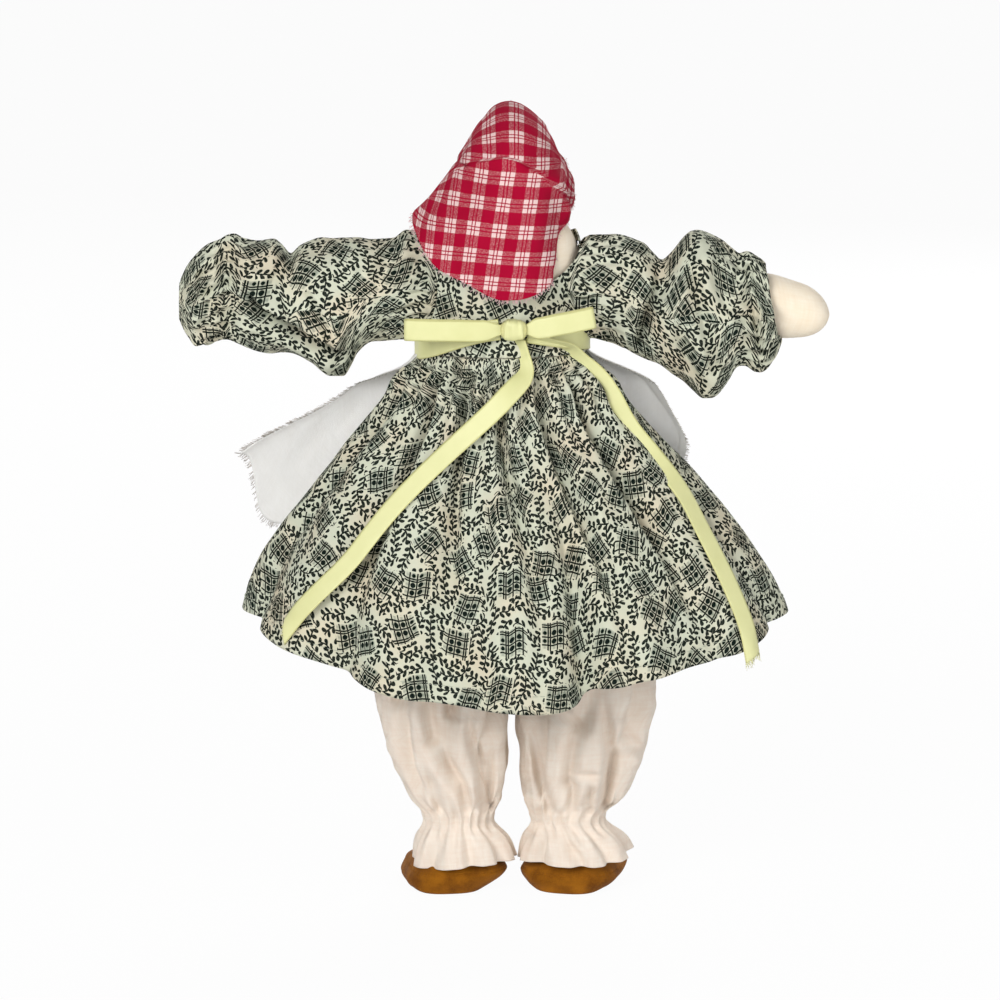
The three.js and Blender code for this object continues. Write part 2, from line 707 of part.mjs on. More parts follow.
// Foot: a padded flat sole with three webbed toes, drawn in to the ankle on top.
const toeScallop = 4;

function footRadius(angle) {
  const length = Math.cos(angle) > 0 ? footToe : footHeel;
  const side = Math.abs(Math.sin(angle)) / footHalfWidth;
  const front = Math.abs(Math.cos(angle)) / length;
  const oval = (side ** 2.5 + front ** 2.5) ** -0.4;
  const turn = Math.abs(Math.atan2(Math.sin(angle), Math.cos(angle)));
  const web = toeScallop * (0.5 - 0.5 * Math.cos(10 * turn)) * (1 - smoothstep(turn, 0.6, 0.8));
  return oval - web;
}

function footShape(side) {
  const top = ankleRadius + 1;
  const levels = [[0, 0, 1.2], [1.6, 0, 0], [0.38 * footHeight, 0.06, 0], [0.63 * footHeight, 0.5, 0]];
  levels.push([0.79 * footHeight, 0.86, 0], [footHeight, 1, 0]);
  const rings = levels.map(([z, drawnIn, inset]) => ringOf(40, (angle) => {
    const radius = lerp(footRadius(angle) - inset, top, drawnIn);
    const turned = angle + degToRad(footSplay);
    const x = legX(side, ankleHalfSpacing) + side * radius * Math.sin(turned);
    return new THREE.Vector3(x, -radius * Math.cos(turned), z);
  }));
  return loft(rings);
}

// Bill: flat and rounded, set on the front of the head.
function billShape() {
  const root = headRadius - 5;
  const tip = headRadius + billLength;
  const rows = [
    [root, 0.78, 1.1, -3],
    [lerp(root, tip, 0.3), 0.8, 0.95, -3.6],
    [lerp(root, tip, 0.6), 0.94, 0.7, -5.5],
    [lerp(root, tip, 0.85), 1, 0.5, -6],
    [lerp(root, tip, 0.96), 0.8, 0.36, -5.6],
    [tip, 0.4, 0.18, -5.3],
  ];
  const rings = rows.map(([reach, wide, high, rise]) => ringOf(20, (angle) => new THREE.Vector3(
    headCentre.x + wide * billHalfWidth * Math.sin(angle),
    headCentre.y - reach,
    headCentre.z + rise + high * billHalfHeight * Math.cos(angle),
  )));
  return cutBy(loft(rings), headShape(sewnGap));
}

// Direction from the middle of the head: turn 0 at the back, towards the doll's left; tilt 0 straight up.
function headDirection(turn, tilt) {
  return new THREE.Vector3(
    Math.sin(tilt) * Math.sin(turn),
    Math.sin(tilt) * Math.cos(turn),
    Math.cos(tilt),
  );
}

function headReach(direction) {
  const across = direction.x / headHalfWidth;
  const upright = Math.hypot(direction.y, direction.z) / headRadius;
  return 1 / Math.hypot(across, upright);
}

function eyeShape(side) {
  const direction = headDirection(side * degToRad(148), degToRad(72));
  const bead = new THREE.SphereGeometry(eyeRadius, 12, 6);
  const reach = headReach(direction) + eyeRadius + sewnGap;
  bead.translate(...headCentre.clone().addScaledVector(direction, reach));
  return bead;
}

// Kerchief edge round the head: [turn, tilt of the dome, drop below it, reach of the edge].
const backReach = headForward + bodiceHalfDepth + flapStandOff;
const cornerReach = headLean + bodiceHalfWidth + cornerStandOff;
const kerchiefEdge = [
  [-180, 38, 0, headRadius],
  [-150, 45, 0, headRadius],
  [-128, 80, 0, headRadius],
  [-110, 90, 11, 27],
  [-90, 90, 17, 33],
  [-60, 90, 0.93 * cornerDrop, 0.75 * cornerReach],
  [-30, 90, 0.87 * flapDrop, 1.03 * backReach],
  [-15, 90, 0.95 * flapDrop, backReach],
  [14, 90, flapDrop, 1.03 * backReach],
  [30, 90, 0.88 * flapDrop, 1.13 * backReach],
  [60, 90, cornerDrop, cornerReach],
  [90, 90, 17, 34],
  [110, 90, 11, 27],
  [128, 80, 0, headRadius],
  [150, 45, 0, headRadius],
  [180, 38, 0, headRadius],
];

function kerchiefPoint(turn, down, inset) {
  const [domeTilt, drop, edgeReach] = sample(kerchiefEdge, THREE.MathUtils.radToDeg(turn));
  const tilt = degToRad(Math.min(domeTilt, 90));
  const fall = Math.max(drop, 0);
  const domeShare = (headRadius * tilt) / (headRadius * tilt + fall);
  const standOff = hoodGap + clothThickness - inset;
  if (down <= domeShare) {
    const direction = headDirection(turn, (tilt * down) / domeShare);
    const ease = hoodEase * Math.sin((tilt * down) / domeShare) ** 2;
    return headCentre.clone().addScaledVector(direction, headReach(direction) + standOff + ease);
  }
  const share = (down - domeShare) / (1 - domeShare);
  const level = headDirection(turn, Math.PI / 2);
  const reach = lerp(headReach(level) + standOff + hoodEase, edgeReach - inset, share);
  return headCentre.clone().addScaledVector(level, reach).setZ(headCentre.z - fall * share);
}

// Strand of the kerchief from beside the cheek to the knot under the bill.
const kerchiefKnot = headCentre.clone().add(new THREE.Vector3(0, -headRadius - 9.5, -17));

function strandShape(side) {
  const route = [
    new THREE.Vector3(side * (headHalfWidth + 1.8), -10, -9.5),
    new THREE.Vector3(side * headHalfWidth, -0.76 * headRadius, -15),
    new THREE.Vector3(side * 0.5 * headHalfWidth, -headRadius - 5, -17),
  ].map((offset) => offset.add(headCentre));
  route.push(kerchiefKnot.clone().add(new THREE.Vector3(side * (kerchiefKnotRadius + 3 * sewnGap), 0.8, 0)));
  const section = new THREE.Shape().absarc(0, 0, strandRadius, 0, 2 * Math.PI);
  const extrudePath = new THREE.CatmullRomCurve3(route);
  return new THREE.ExtrudeGeometry(section, { steps: 8, curveSegments: 4, extrudePath, bevelEnabled: false });
}

function kerchiefShape() {
  const rows = [0.04, 0.16, 0.3, 0.45, 0.6, 0.74, 0.87, 1];
  const ring = (down, inset) => ringOf(32, (angle) => kerchiefPoint(angle - Math.PI, down, inset));
  const outer = rows.map((down) => ring(down, 0));
  const inner = rows.map((down) => ring(down, clothThickness));
  const hood = loft([...outer, ...inner.toReversed()]);
  return joinTo(joinTo(hood, strandShape(1)), strandShape(-1));
}

function kerchiefKnotShape() {
  const ball = new THREE.SphereGeometry(kerchiefKnotRadius, 12, 8);
  ball.translate(...kerchiefKnot);
  return ball;
}

function kerchiefEndShape(side) {
  const start = new THREE.Vector3(side * 0.8, -0.3, -1).setLength(kerchiefKnotRadius + 2 * sewnGap);
  const route = [start, new THREE.Vector3(side * 8, -5.5, -15), new THREE.Vector3(side * 11, -9, -27)];
  const points = route.map((offset) => offset.add(kerchiefKnot));
  const face = new THREE.Vector3(0, -1, 0.3).normalize();
  return ribbonAlong(points, points.map(() => face), kerchiefEndWidth / 2, clothThickness);
}

// Finishes
const muslin = { color: 0xf3e6d3, roughness: 0.95 };
const bloomerMuslin = { color: 0xe8d6c8, roughness: 0.95 };
const calico = { color: 0xb9c2b0, roughness: 0.9 };
const apronMuslin = { color: 0xf2efe9, roughness: 0.92 };
const satinRibbon = { color: 0xf0f0aa, roughness: 0.45 };
const redPlaid = { color: 0xb0203f, roughness: 0.9 };
const mustardCloth = { color: 0xb2701a, roughness: 0.95 };
const blackBead = { color: 0x101010, roughness: 0.2 };
const elastic = { color: 0xf4f2ee, roughness: 0.85 };

function addPart(group, name, geometry, finish) {
  const mesh = new THREE.Mesh(geometry, new THREE.MeshStandardMaterial({ ...finish, metalness: 0 }));
  mesh.name = name;
  group.add(mesh);
}

const doll = new THREE.Group();

const trunk = new THREE.Group();
addPart(trunk, 'torso', torsoShape(), muslin);
addPart(trunk, 'dress_bodice', bodiceShape(), calico);
addPart(trunk, 'dress_skirt', skirtShape(), calico);
addPart(trunk, 'apron_panel', apronShape(), apronMuslin);
addPart(trunk, 'bloomers_seat', seatShape(), bloomerMuslin);
const [waistAcross, waistDeep] = [torsoHalfWidth + sewnGap, torsoHalfDepth + sewnGap];
const waistElastic = bandRing(0, seatElasticHeight, waistAcross, waistDeep, bodySides);
addPart(trunk, 'bloomers_waist_elastic', waistElastic, elastic);
addPart(trunk, 'ribbon_waistband', waistbandShape(), satinRibbon);
addPart(trunk, 'bow_knot', knotShape(), satinRibbon);
addPart(trunk, 'bow_loop_left', loopShape(1, leftLoopLength, 0), satinRibbon);
addPart(trunk, 'bow_loop_right', loopShape(-1, rightLoopLength, rightLoopTilt), satinRibbon);
addPart(trunk, 'ribbon_tail_left', tailShape(leftTailRoute), satinRibbon);
addPart(trunk, 'ribbon_tail_right', tailShape(rightTailRoute), satinRibbon);
doll.add(trunk);

const headGroup = new THREE.Group();
addPart(headGroup, 'head', headShape(0), muslin);
addPart(headGroup, 'bill', billShape(), mustardCloth);
addPart(headGroup, 'kerchief', kerchiefShape(), redPlaid);
addPart(headGroup, 'kerchief_knot', kerchiefKnotShape(), redPlaid);
doll.add(headGroup);

for (const [name, side] of [['left', 1], ['right', -1]]) {
  addPart(headGroup, `eye_${name}`, eyeShape(side), blackBead);
  addPart(headGroup, `kerchief_end_${name}`, kerchiefEndShape(side), redPlaid);

  const sleeve = side > 0 ? leftSleeve : rightSleeve;
  const arm = new THREE.Group();
  addPart(arm, `arm_${name}`, armShape(side), muslin);
  addPart(arm, `sleeve_${name}`, sleeveShape(side, sleeve), calico);
  addPart(arm, `wrist_elastic_${name}`, wristElasticShape(side, sleeve.gather), elastic);
  doll.add(arm);

  const leg = new THREE.Group();
  const ankleGap = ankleRadius + sewnGap;
  const ankleElastic = bandRing(legX(side, ankleHalfSpacing), ankleHeight, ankleGap, ankleGap, 18);
  addPart(leg, `leg_${name}`, legShape(side), muslin);
  addPart(leg, `bloomer_leg_${name}`, bloomerLegShape(side), bloomerMuslin);
  addPart(leg, `ankle_elastic_${name}`, ankleElastic, elastic);
  addPart(leg, `foot_${name}`, footShape(side), mustardCloth);
  doll.add(leg);
}

export default doll;
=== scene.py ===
import math

import bpy
import numpy as np
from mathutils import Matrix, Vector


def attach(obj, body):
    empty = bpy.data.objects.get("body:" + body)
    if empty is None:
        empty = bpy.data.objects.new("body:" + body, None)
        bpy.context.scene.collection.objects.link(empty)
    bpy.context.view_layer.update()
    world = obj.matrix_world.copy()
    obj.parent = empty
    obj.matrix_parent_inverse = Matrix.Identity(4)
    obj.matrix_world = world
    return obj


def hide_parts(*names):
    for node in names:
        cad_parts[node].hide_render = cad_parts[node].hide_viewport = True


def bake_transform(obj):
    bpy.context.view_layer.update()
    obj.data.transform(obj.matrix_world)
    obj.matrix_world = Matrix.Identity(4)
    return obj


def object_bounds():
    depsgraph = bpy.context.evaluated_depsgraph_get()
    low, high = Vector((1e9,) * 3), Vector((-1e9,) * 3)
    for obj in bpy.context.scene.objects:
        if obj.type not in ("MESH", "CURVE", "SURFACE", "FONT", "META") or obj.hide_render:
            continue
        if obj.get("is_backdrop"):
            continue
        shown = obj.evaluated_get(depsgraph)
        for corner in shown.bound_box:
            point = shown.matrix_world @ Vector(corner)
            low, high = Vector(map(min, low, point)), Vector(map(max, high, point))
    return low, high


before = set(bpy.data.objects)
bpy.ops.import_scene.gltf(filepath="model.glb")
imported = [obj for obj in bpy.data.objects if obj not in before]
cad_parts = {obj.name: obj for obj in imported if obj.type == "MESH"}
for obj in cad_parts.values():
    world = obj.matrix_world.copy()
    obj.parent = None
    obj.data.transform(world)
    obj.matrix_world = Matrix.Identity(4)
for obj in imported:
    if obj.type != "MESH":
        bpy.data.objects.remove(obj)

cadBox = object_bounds()
scene = bpy.context.scene
scene.view_settings.view_transform = "Standard"
mm = 0.001
turn = 2 * np.pi
sides = (("left", 1), ("right", -1))  # the doll's own sides; its left lies towards growing x
clothThick, ribbonThick = 0.6, 0.22  # mm


def ease(x, low, high):  # smooth step: 0 at low, 1 at high
    t = np.clip((np.asarray(x, float) - low) / (high - low), 0, 1)
    return t * t * (3 - 2 * t)


def mixed(a, b, t):
    return a + (b - a) * t


def bell(x, middle, width):  # 1 at the middle, falling off to both sides over width
    return np.exp(-(((x - middle) / width) ** 2))


def atLeast(value, low, soft):  # the larger of two, with the corner between them rounded off
    return 0.5 * (value + low + np.sqrt((value - low) ** 2 + soft**2))


def joined(*parts):  # coordinates of any fitting shapes, put together as points
    return np.stack(np.broadcast_arrays(*parts), axis=-1)


def unit(vectors):
    return vectors / (np.linalg.norm(vectors, axis=-1, keepdims=True) + 1e-12)


def ringAngles(count, start=-np.pi):  # one row of even angles, once round
    return np.linspace(start, start + turn, count, endpoint=False)[None, :]


def wrapped(grid):  # the first column again at the end
    return np.concatenate([grid, grid[:, :1]], axis=1)


def smoothed(values, half):  # mean over half a window to each side
    return np.convolve(np.pad(values, half, mode="edge"), np.ones(2 * half + 1) / (2 * half + 1), mode="valid")


def sampled(keys, at, line):  # points of a line, read at keys between its own places
    return np.stack([np.interp(keys, at, column) for column in line.T], axis=-1)


def curves(rows, keys):
    # smooth curve through a table, one array for each column; flat where a column turns back
    rows = np.asarray(rows, float)
    at, last = rows[:, 0], len(rows) - 1
    keys = np.clip(keys, at[0], at[-1])
    i = np.clip(np.searchsorted(at, keys, side="right") - 1, 0, last - 1)
    span = at[i + 1] - at[i]
    f = (keys - at[i]) / span
    spots = np.arange(last + 1)
    before, after = np.maximum(spots - 1, 0), np.minimum(spots + 1, last)
    found = []
    for column in rows[:, 1:].T:
        slope = (column[after] - column[before]) / (at[after] - at[before])
        step = np.diff(column)
        slope[1:-1][step[:-1] * step[1:] <= 0] = 0
        pull = (f**3 - 2 * f**2 + f) * span * slope[i] + (f**3 - f**2) * span * slope[i + 1]
        found.append(mixed(column[i], column[i + 1], 3 * f**2 - 2 * f**3) + pull)
    return found


def ripple(x, y, seed, wrap=64):
    # smooth noise from -1 to 1: random heights on a unit lattice, joined by smooth steps
    heights = np.random.default_rng(seed).uniform(-1, 1, (64, wrap))
    x, y = np.broadcast_arrays(np.asarray(x, float), np.asarray(y, float))
    left, top = np.floor(x).astype(int), np.floor(y).astype(int)
    fx, fy = ease(x - left, 0, 1), ease(y - top, 0, 1)
    corner = lambda i, j: heights[(top + j) % 64, (left + i) % wrap]
    return mixed(mixed(corner(0, 0), corner(1, 0), fx), mixed(corner(0, 1), corner(1, 1), fx), fy)


def creaseAt(x, y, route, width, fade=0.0):
    # 1 on a broken line through route, falling off like a bell, and growing from 0 over its first part
    shape = np.broadcast(x, y).shape
    nearest, done = np.full(shape, 1e9), np.zeros(shape)
    for leg, ((ax, ay), (bx, by)) in enumerate(zip(route[:-1], route[1:])):
        dx, dy = bx - ax, by - ay
        along = np.clip(((x - ax) * dx + (y - ay) * dy) / (dx**2 + dy**2), 0, 1)
        off = np.hypot(x - ax - along * dx, y - ay - along * dy)
        done = np.where(off < nearest, leg + along, done)
        nearest = np.minimum(nearest, off)
    grown = ease(done, 0, fade * (len(route) - 1)) if fade else 1
    return grown * bell(nearest, 0, width)


def facing(points, wrap, inside):  # unit normals of a grid, pointing away from inside
    across = np.roll(points, -1, 1) - np.roll(points, 1, 1) if wrap else np.gradient(points, axis=1)
    normals = unit(np.cross(across, np.gradient(points, axis=0)))
    return normals * (1 if np.sum(normals * (points - inside)) > 0 else -1)


def middles(points):
    return points.mean(axis=1, keepdims=True)


def runAlong(path):  # running length along a path, in mm
    return np.concatenate([[0], np.cumsum(np.linalg.norm(np.diff(path, axis=0), axis=1))])


def lengths(points, axis):  # running length along one side of a grid, in mm
    steps = np.linalg.norm(np.diff(points, axis=axis), axis=-1)
    start = [(0, 0), (0, 0)]
    start[axis] = (1, 0)
    return np.pad(np.cumsum(steps, axis=axis), start)


def clothPlan(points, wrap):
    # flat place of each grid point, in mm: length across from the middle column, and length down
    ring = wrapped(points) if wrap else points
    across, down = lengths(ring, 1), lengths(ring, 0)
    return np.stack([across - across[:, [ring.shape[1] // 2]], down], axis=-1)


def makeMesh(name, verts, faces, uv=None):  # places in mm; uv has one row for each corner of each face
    mesh = bpy.data.meshes.new(name)
    mesh.from_pydata((verts * mm).tolist(), [], faces)
    flat = mesh.uv_layers.new(name="cloth")
    if uv is not None:
        flat.data.foreach_set("uv", (uv * mm).ravel())
    mesh.polygons.foreach_set("use_smooth", np.ones(len(faces), bool))
    mesh.update()
    return mesh


def gridMesh(name, points, plan, wrap=False, inside=None, ends=False, skip=None):
    # grid of quads in mm, turned to face away from inside; ends closes both ends of a tube with a fan
    rows, columns = points.shape[:2]
    inside = middles(points) if inside is None else inside
    across = np.roll(points, -1, 1) - points if wrap else np.gradient(points, axis=1)
    normals = np.cross(across, np.gradient(points, axis=0))
    flip = np.sum(normals * (points - inside)) < 0
    index = np.arange(rows * columns).reshape(rows, columns)
    left, right = (index, np.roll(index, -1, 1)) if wrap else (index[:, :-1], index[:, 1:])
    quads = np.stack([left[:-1], right[:-1], right[1:], left[1:]], axis=-1)
    spots = np.arange(rows * plan.shape[1]).reshape(rows, -1)
    flat = np.stack([spots[:-1, :-1], spots[:-1, 1:], spots[1:, 1:], spots[1:, :-1]], axis=-1)
    keep = np.ones(quads.shape[:2], bool) if skip is None else ~skip
    quads, flat = quads[keep], flat[keep]
    if flip:
        quads, flat = quads[:, ::-1], flat[:, ::-1]
    verts, faces, uv = points.reshape(-1, 3), quads.tolist(), plan.reshape(-1, 2)[flat].reshape(-1, 2)
    if ends:
        for row, turned in ((0, flip), (rows - 1, not flip)):
            hub = len(verts)
            verts = np.vstack([verts, points[row].mean(axis=0)])
            fan = np.stack([np.full(columns, hub), index[row], np.roll(index[row], -1)], axis=-1)
            flatFan = np.stack([plan[row, :-1], plan[row, :-1], plan[row, 1:]], axis=1)
            fan, flatFan = (fan, flatFan) if turned else (fan[:, ::-1], flatFan[:, ::-1])
            faces += fan.tolist()
            uv = np.vstack([uv, flatFan.reshape(-1, 2)])
    return makeMesh(name, verts, faces, uv)


def placed(name, data):  # new object in the scene
    made = bpy.data.objects.new(name, data)
    scene.collection.objects.link(made)
    return made


def piece(mesh, material, body=None, nodes=(), thickness=0):
    made = placed(mesh.name, mesh)
    mesh.materials.append(material)
    if thickness:  # cloth gets its thickness inwards
        wall = made.modifiers.new("thickness", "SOLIDIFY")
        wall.thickness, wall.offset = thickness * mm, -1
    if nodes:
        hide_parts(*nodes)
    if body:
        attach(made, body)
    return made


def closedPiece(name, grid, material, body, nodes=()):  # skin round a ball or a tube
    mesh = gridMesh(name, grid, clothPlan(grid, True), wrap=True, ends=True)
    made = piece(mesh, material, body, nodes)


def frameAlong(paths, reference, axis):  # directions of paths, and two more that are square to them
    along = unit(np.gradient(paths, axis=axis))
    first = unit(np.cross(along, reference))
    return along, first, np.cross(along, first)


def ribbonGrid(path, normals, width, columns, edge=0.0):
    # ribbon carried along a path: columns across its width, raised a little at both selvedges
    along, across, _ = frameAlong(path, normals, 0)
    up = unit(np.cross(across, along))
    side = np.linspace(-1, 1, columns)
    lift = edge * np.abs(side) ** 6
    return path[:, None] + across[:, None] * side[None, :, None] * width / 2 + up[:, None] * lift[None, :, None]


def ribbonPiece(node, grid, run, inside):  # satin ribbon of the length run
    plan = joined(np.linspace(-5, 5, grid.shape[1])[None, :], np.linspace(0, run, len(grid))[:, None])
    mesh = gridMesh(f"{node}_cloth", grid, plan, inside=inside)
    return piece(mesh, satin, "torso", [node], ribbonThick)


def threads(name, starts, paths, radius):
    # many short threads in one mesh: a three-sided tube along each path (threads x points x 3)
    count, points = paths.shape[:2]
    _, first, second = frameAlong(paths, starts[:, None], 1)
    angle = np.arange(3) * turn / 3
    ring = first[:, :, None] * np.cos(angle)[:, None] + second[:, :, None] * np.sin(angle)[:, None]
    verts = (paths[:, :, None] + ring * radius).reshape(-1, 3)
    index = np.arange(count * points * 3).reshape(count, points, 3)
    after = np.roll(index, -1, 2)
    walls = np.stack([index[:, :-1], after[:, :-1], after[:, 1:], index[:, 1:]], axis=-1).reshape(-1, 4)
    caps = np.concatenate([index[:, 0][:, ::-1], index[:, -1]])
    return makeMesh(name, verts, walls.tolist() + caps.tolist())


def strands(rng, root, away, reach, spread, steps):  # frayed threads: paths that leave root and sway a little
    long = rng.uniform(*reach, (len(root), 1, 1))
    sway = rng.normal(0, spread, (len(root), 1, 3))
    steps = np.array(steps)[None, :, None]
    return root[:, None] + (away[:, None] + sway * steps) * steps * long


class Wire:  # one socket of a node tree; sums and products of wires add Math nodes
    def __init__(self, tree, socket=None):
        self.tree, self.socket = tree, socket

    def node(self, kind, settings=None, inputs=None, output=0):
        made = self.tree.nodes.new(kind)
        for key, value in (settings or {}).items():
            if key == "stops":
                ramp = made.color_ramp.elements
                for place, _ in value[2:]:
                    ramp.new(place)
                for stop, (place, grey) in zip(ramp, value):
                    stop.position, stop.color = place, (grey, grey, grey, 1)
            elif key == "interpolation":
                made.color_ramp.interpolation = value
            else:
                setattr(made, key, value)
        for key, value in (inputs or {}).items():
            if isinstance(value, Wire):
                self.tree.links.new(value.socket, made.inputs[key])
            else:
                made.inputs[key].default_value = value
        return Wire(self.tree, made.outputs[output])

    def other(self, output):  # another output of the same node
        return Wire(self.tree, self.socket.node.outputs[output])

    def endIn(self, kind):  # to the surface of an output node
        self.tree.links.new(self.socket, self.tree.nodes.new(kind).inputs["Surface"])

    def math(self, operation, *values):
        return self.node("ShaderNodeMath", {"operation": operation}, dict(enumerate(values)))

    def __add__(self, value): return self.math("ADD", self, value)
    def __radd__(self, value): return self.math("ADD", value, self)
    def __sub__(self, value): return self.math("SUBTRACT", self, value)
    def __rsub__(self, value): return self.math("SUBTRACT", value, self)
    def __mul__(self, value): return self.math("MULTIPLY", self, value)
    def __truediv__(self, value): return self.math("DIVIDE", self, value)
    def __lt__(self, value): return self.math("LESS_THAN", self, value)
    def __gt__(self, value): return self.math("GREATER_THAN", self, value)
    def __abs__(self): return self.math("ABSOLUTE", self)


def bareTree(owner):  # emptied node tree of a material or a world
    owner.use_nodes = True
    owner.node_tree.nodes.clear()
    return Wire(owner.node_tree)


def tone(red, green, blue):  # written as on a screen, 0 to 255, and returned as light
    light = lambda c: c / 255 / 12.92 if c < 11 else ((c / 255 + 0.055) / 1.055) ** 2.4
    return light(red), light(green), light(blue)


def colourMix(wire, factor, a, b):
    full = lambda c: c if isinstance(c, Wire) else (*c, 1)
    return wire.node("ShaderNodeMix", {"data_type": "RGBA"}, {0: factor, 6: full(a), 7: full(b)}, 2)


def finish(name, paint, roughness=0.9, sheen=0.0, specular=0.25, bumpSize=0.1, through=0.0):
    # paint(wire) gives a colour, and a height in mm and a roughness where they change over the surface;
    # through is the part of the light that passes a thin cloth
    material = bpy.data.materials.new(name)
    wire = bareTree(material)
    colour, height, rough = paint(wire)
    shade = {"Base Color": colour, "Roughness": roughness if rough is None else rough,
             "Specular IOR Level": specular, "Sheen Weight": sheen, "Sheen Roughness": 0.5,
             "Subsurface Weight": through, "Subsurface Radius": (1, 1, 1), "Subsurface Scale": 0.002}
    if height is not None:
        bump = {"Height": height, "Strength": 1.0, "Distance": bumpSize * mm}
        shade["Normal"] = wire.node("ShaderNodeBump", None, bump)
    wire.node("ShaderNodeBsdfPrincipled", None, shade).endIn("ShaderNodeOutputMaterial")
    return material


def inMillimetres(wire, vector):
    scale = {"Vector": vector, "Scale": 1000.0}
    return wire.node("ShaderNodeVectorMath", {"operation": "SCALE"}, scale, "Vector")


def clothPlace(wire):  # place on the flat cloth in mm, as one vector and as its two numbers
    place = inMillimetres(wire, wire.node("ShaderNodeUVMap", {"uv_map": "cloth"}))
    across = wire.node("ShaderNodeSeparateXYZ", None, {"Vector": place}, "X")
    return place, across, across.other("Y")


def noiseAt(wire, place, size, detail=2.0, stretch=None):  # noise of that feature size in mm, 0 to 1
    if stretch:
        place = wire.node("ShaderNodeVectorMath", {"operation": "MULTIPLY"}, {0: place, 1: (*stretch, 1)})
    return wire.node("ShaderNodeTexNoise", None, {"Vector": place, "Scale": 1 / size, "Detail": detail})


def between(wire, value, low, high):  # 0 below low, 1 above high
    return wire.node("ShaderNodeValToRGB", {"stops": [(low, 0.0), (high, 1.0)]}, {"Fac": value})


def wave(wire, at, pitch):
    return wire.math("SINE", at * (turn / pitch))


def weave(wire, across, down, pitch):  # threads over and under: product of two waves, -1 to 1
    return wave(wire, across, pitch) * wave(wire, down, pitch)


# bars and rungs are the places of a patch's lines, in mm from its middle
calicoPrint = dict(
    ground=tone(204, 207, 187), warm=tone(211, 202, 178), ink=tone(4, 17, 14), tint=tone(38, 74, 66),
    scatter=0.6, patchEvery=22, patchHalf=6.2, lineHalf=0.38, dot=1.25, stripe=1.3,
    bars=(-5.1, -1.5, 2.1, 3.2), rungs=(-5.2, -4.1, 0.6, 4.4),
    sprigEvery=6.9, sprigHalf=4.6, leafStep=3.1, leafOut=1.3, leafLong=1.6, leafWide=0.84, stemHalf=0.36,
)


def calicoPaint(wire):
    # country print: check patches strewn at odd turns, with leafy sprigs that follow the borders between them
    s = calicoPrint
    place, across, down = clothPlace(wire)
    less = lambda a, b: wire.node("ShaderNodeVectorMath", {"operation": "SUBTRACT"}, {0: a, 1: b})
    squared = lambda a: wire.math("POWER", a, 2.0)
    either = lambda first, *rest: first if not rest else wire.math("MAXIMUM", first, either(*rest))
    parts = lambda vector: wire.node("ShaderNodeSeparateXYZ", None, {"Vector": vector}, "X")
    lots = lambda cell: wire.node("ShaderNodeSeparateColor", None, {"Color": cell.other("Color")}, "Red")
    turned = lambda vector, angle: parts(wire.node(
        "ShaderNodeVectorRotate", {"rotation_type": "Z_AXIS"}, {"Vector": vector, "Angle": angle}))
    strewn = lambda at, every: wire.node(
        "ShaderNodeTexVoronoi", {"voronoi_dimensions": "2D"},
        {"Vector": at, "Scale": 1 / every, "Randomness": s["scatter"]}, "Position")
    # check patch in its own turned frame: lines, dots, and soft stripes under the dots
    centre = strewn(place, s["patchEvery"])
    x = turned(less(place, centre), lots(centre) * 3.1)
    y = x.other("Y")
    within = lambda margin: (abs(x) < s["patchHalf"] + margin) * (abs(y) < s["patchHalf"] + margin)
    lines = lambda at, places: either(*(abs(at - spot) < s["lineHalf"] for spot in places))
    reachX, reachY = abs(x + 0.4) < s["patchHalf"] + 0.4, abs(y - 0.3) < s["patchHalf"] + 0.4
    bars, rungs = lines(x, s["bars"]) * reachY, lines(y, s["rungs"]) * reachX
    twoColumns, lastColumn, twoRows = abs(x + 1.5) - 1.8, x - 4.8, abs(y - 0.6) - 1.9
    smallDots = (squared(lastColumn) + squared(twoRows)) < 0.9
    dots = (squared(twoColumns) + squared(twoRows)) < s["dot"] ** 2
    glow = lambda at: wire.math("MAXIMUM", 0.0, 1 - abs(at) / s["stripe"])
    upright = glow(twoColumns) + glow(lastColumn) * 0.8
    level = glow(twoRows) + glow(y + 2.9) * 0.5
    bands = (upright + level + 0.1) * within(0)
    check = either(bars, rungs, smallDots, dots)
    # sprig in its own turned frame: pairs of leaves along a bent stem
    sprig = strewn(place, s["sprigEvery"])
    lot = lots(sprig)
    outwards = parts(less(sprig, strewn(sprig, s["patchEvery"])))
    heading = wire.math("ARCTAN2", outwards.other("Y"), outwards) + 1.57 + (lot - 0.5) * 1.5
    along = turned(less(place, sprig), 0 - heading)
    side = along.other("Y") - squared(along) * ((lot.other("Green") - 0.5) * 0.22) + 0.25
    stagger = (side > 0.0) * 0.42 + lot.other("Blue") * 0.8
    step = (wire.math("FRACT", along / s["leafStep"] + stagger + 20.0) - 0.5) * s["leafStep"]
    lift = abs(side) - s["leafOut"]
    leafLong, leafWide = step * 0.64 + lift * 0.77, lift * 0.64 - step * 0.77
    leaves = (squared(leafLong / s["leafLong"]) + squared(leafWide / (s["leafWide"] + leafLong * 0.16))) < 1.0
    stem = abs(side) < s["stemHalf"]
    clear = (abs(along) < s["sprigHalf"]) * (1 - within(0.7))
    ink = either(check, leaves * clear, stem * clear)
    aged = between(wire, noiseAt(wire, place, 26, 1.0), 0.42, 0.7)
    ground = colourMix(wire, aged, s["ground"], s["warm"])
    ground = colourMix(wire, bands * 0.44, ground, s["tint"])
    worn = noiseAt(wire, place, 0.9, 1.0) * 0.14 + 0.9
    height = weave(wire, across, down, 0.42) * 0.25 + noiseAt(wire, place, 1.6)
    return colourMix(wire, ink * worn, ground, s["ink"]), height, None


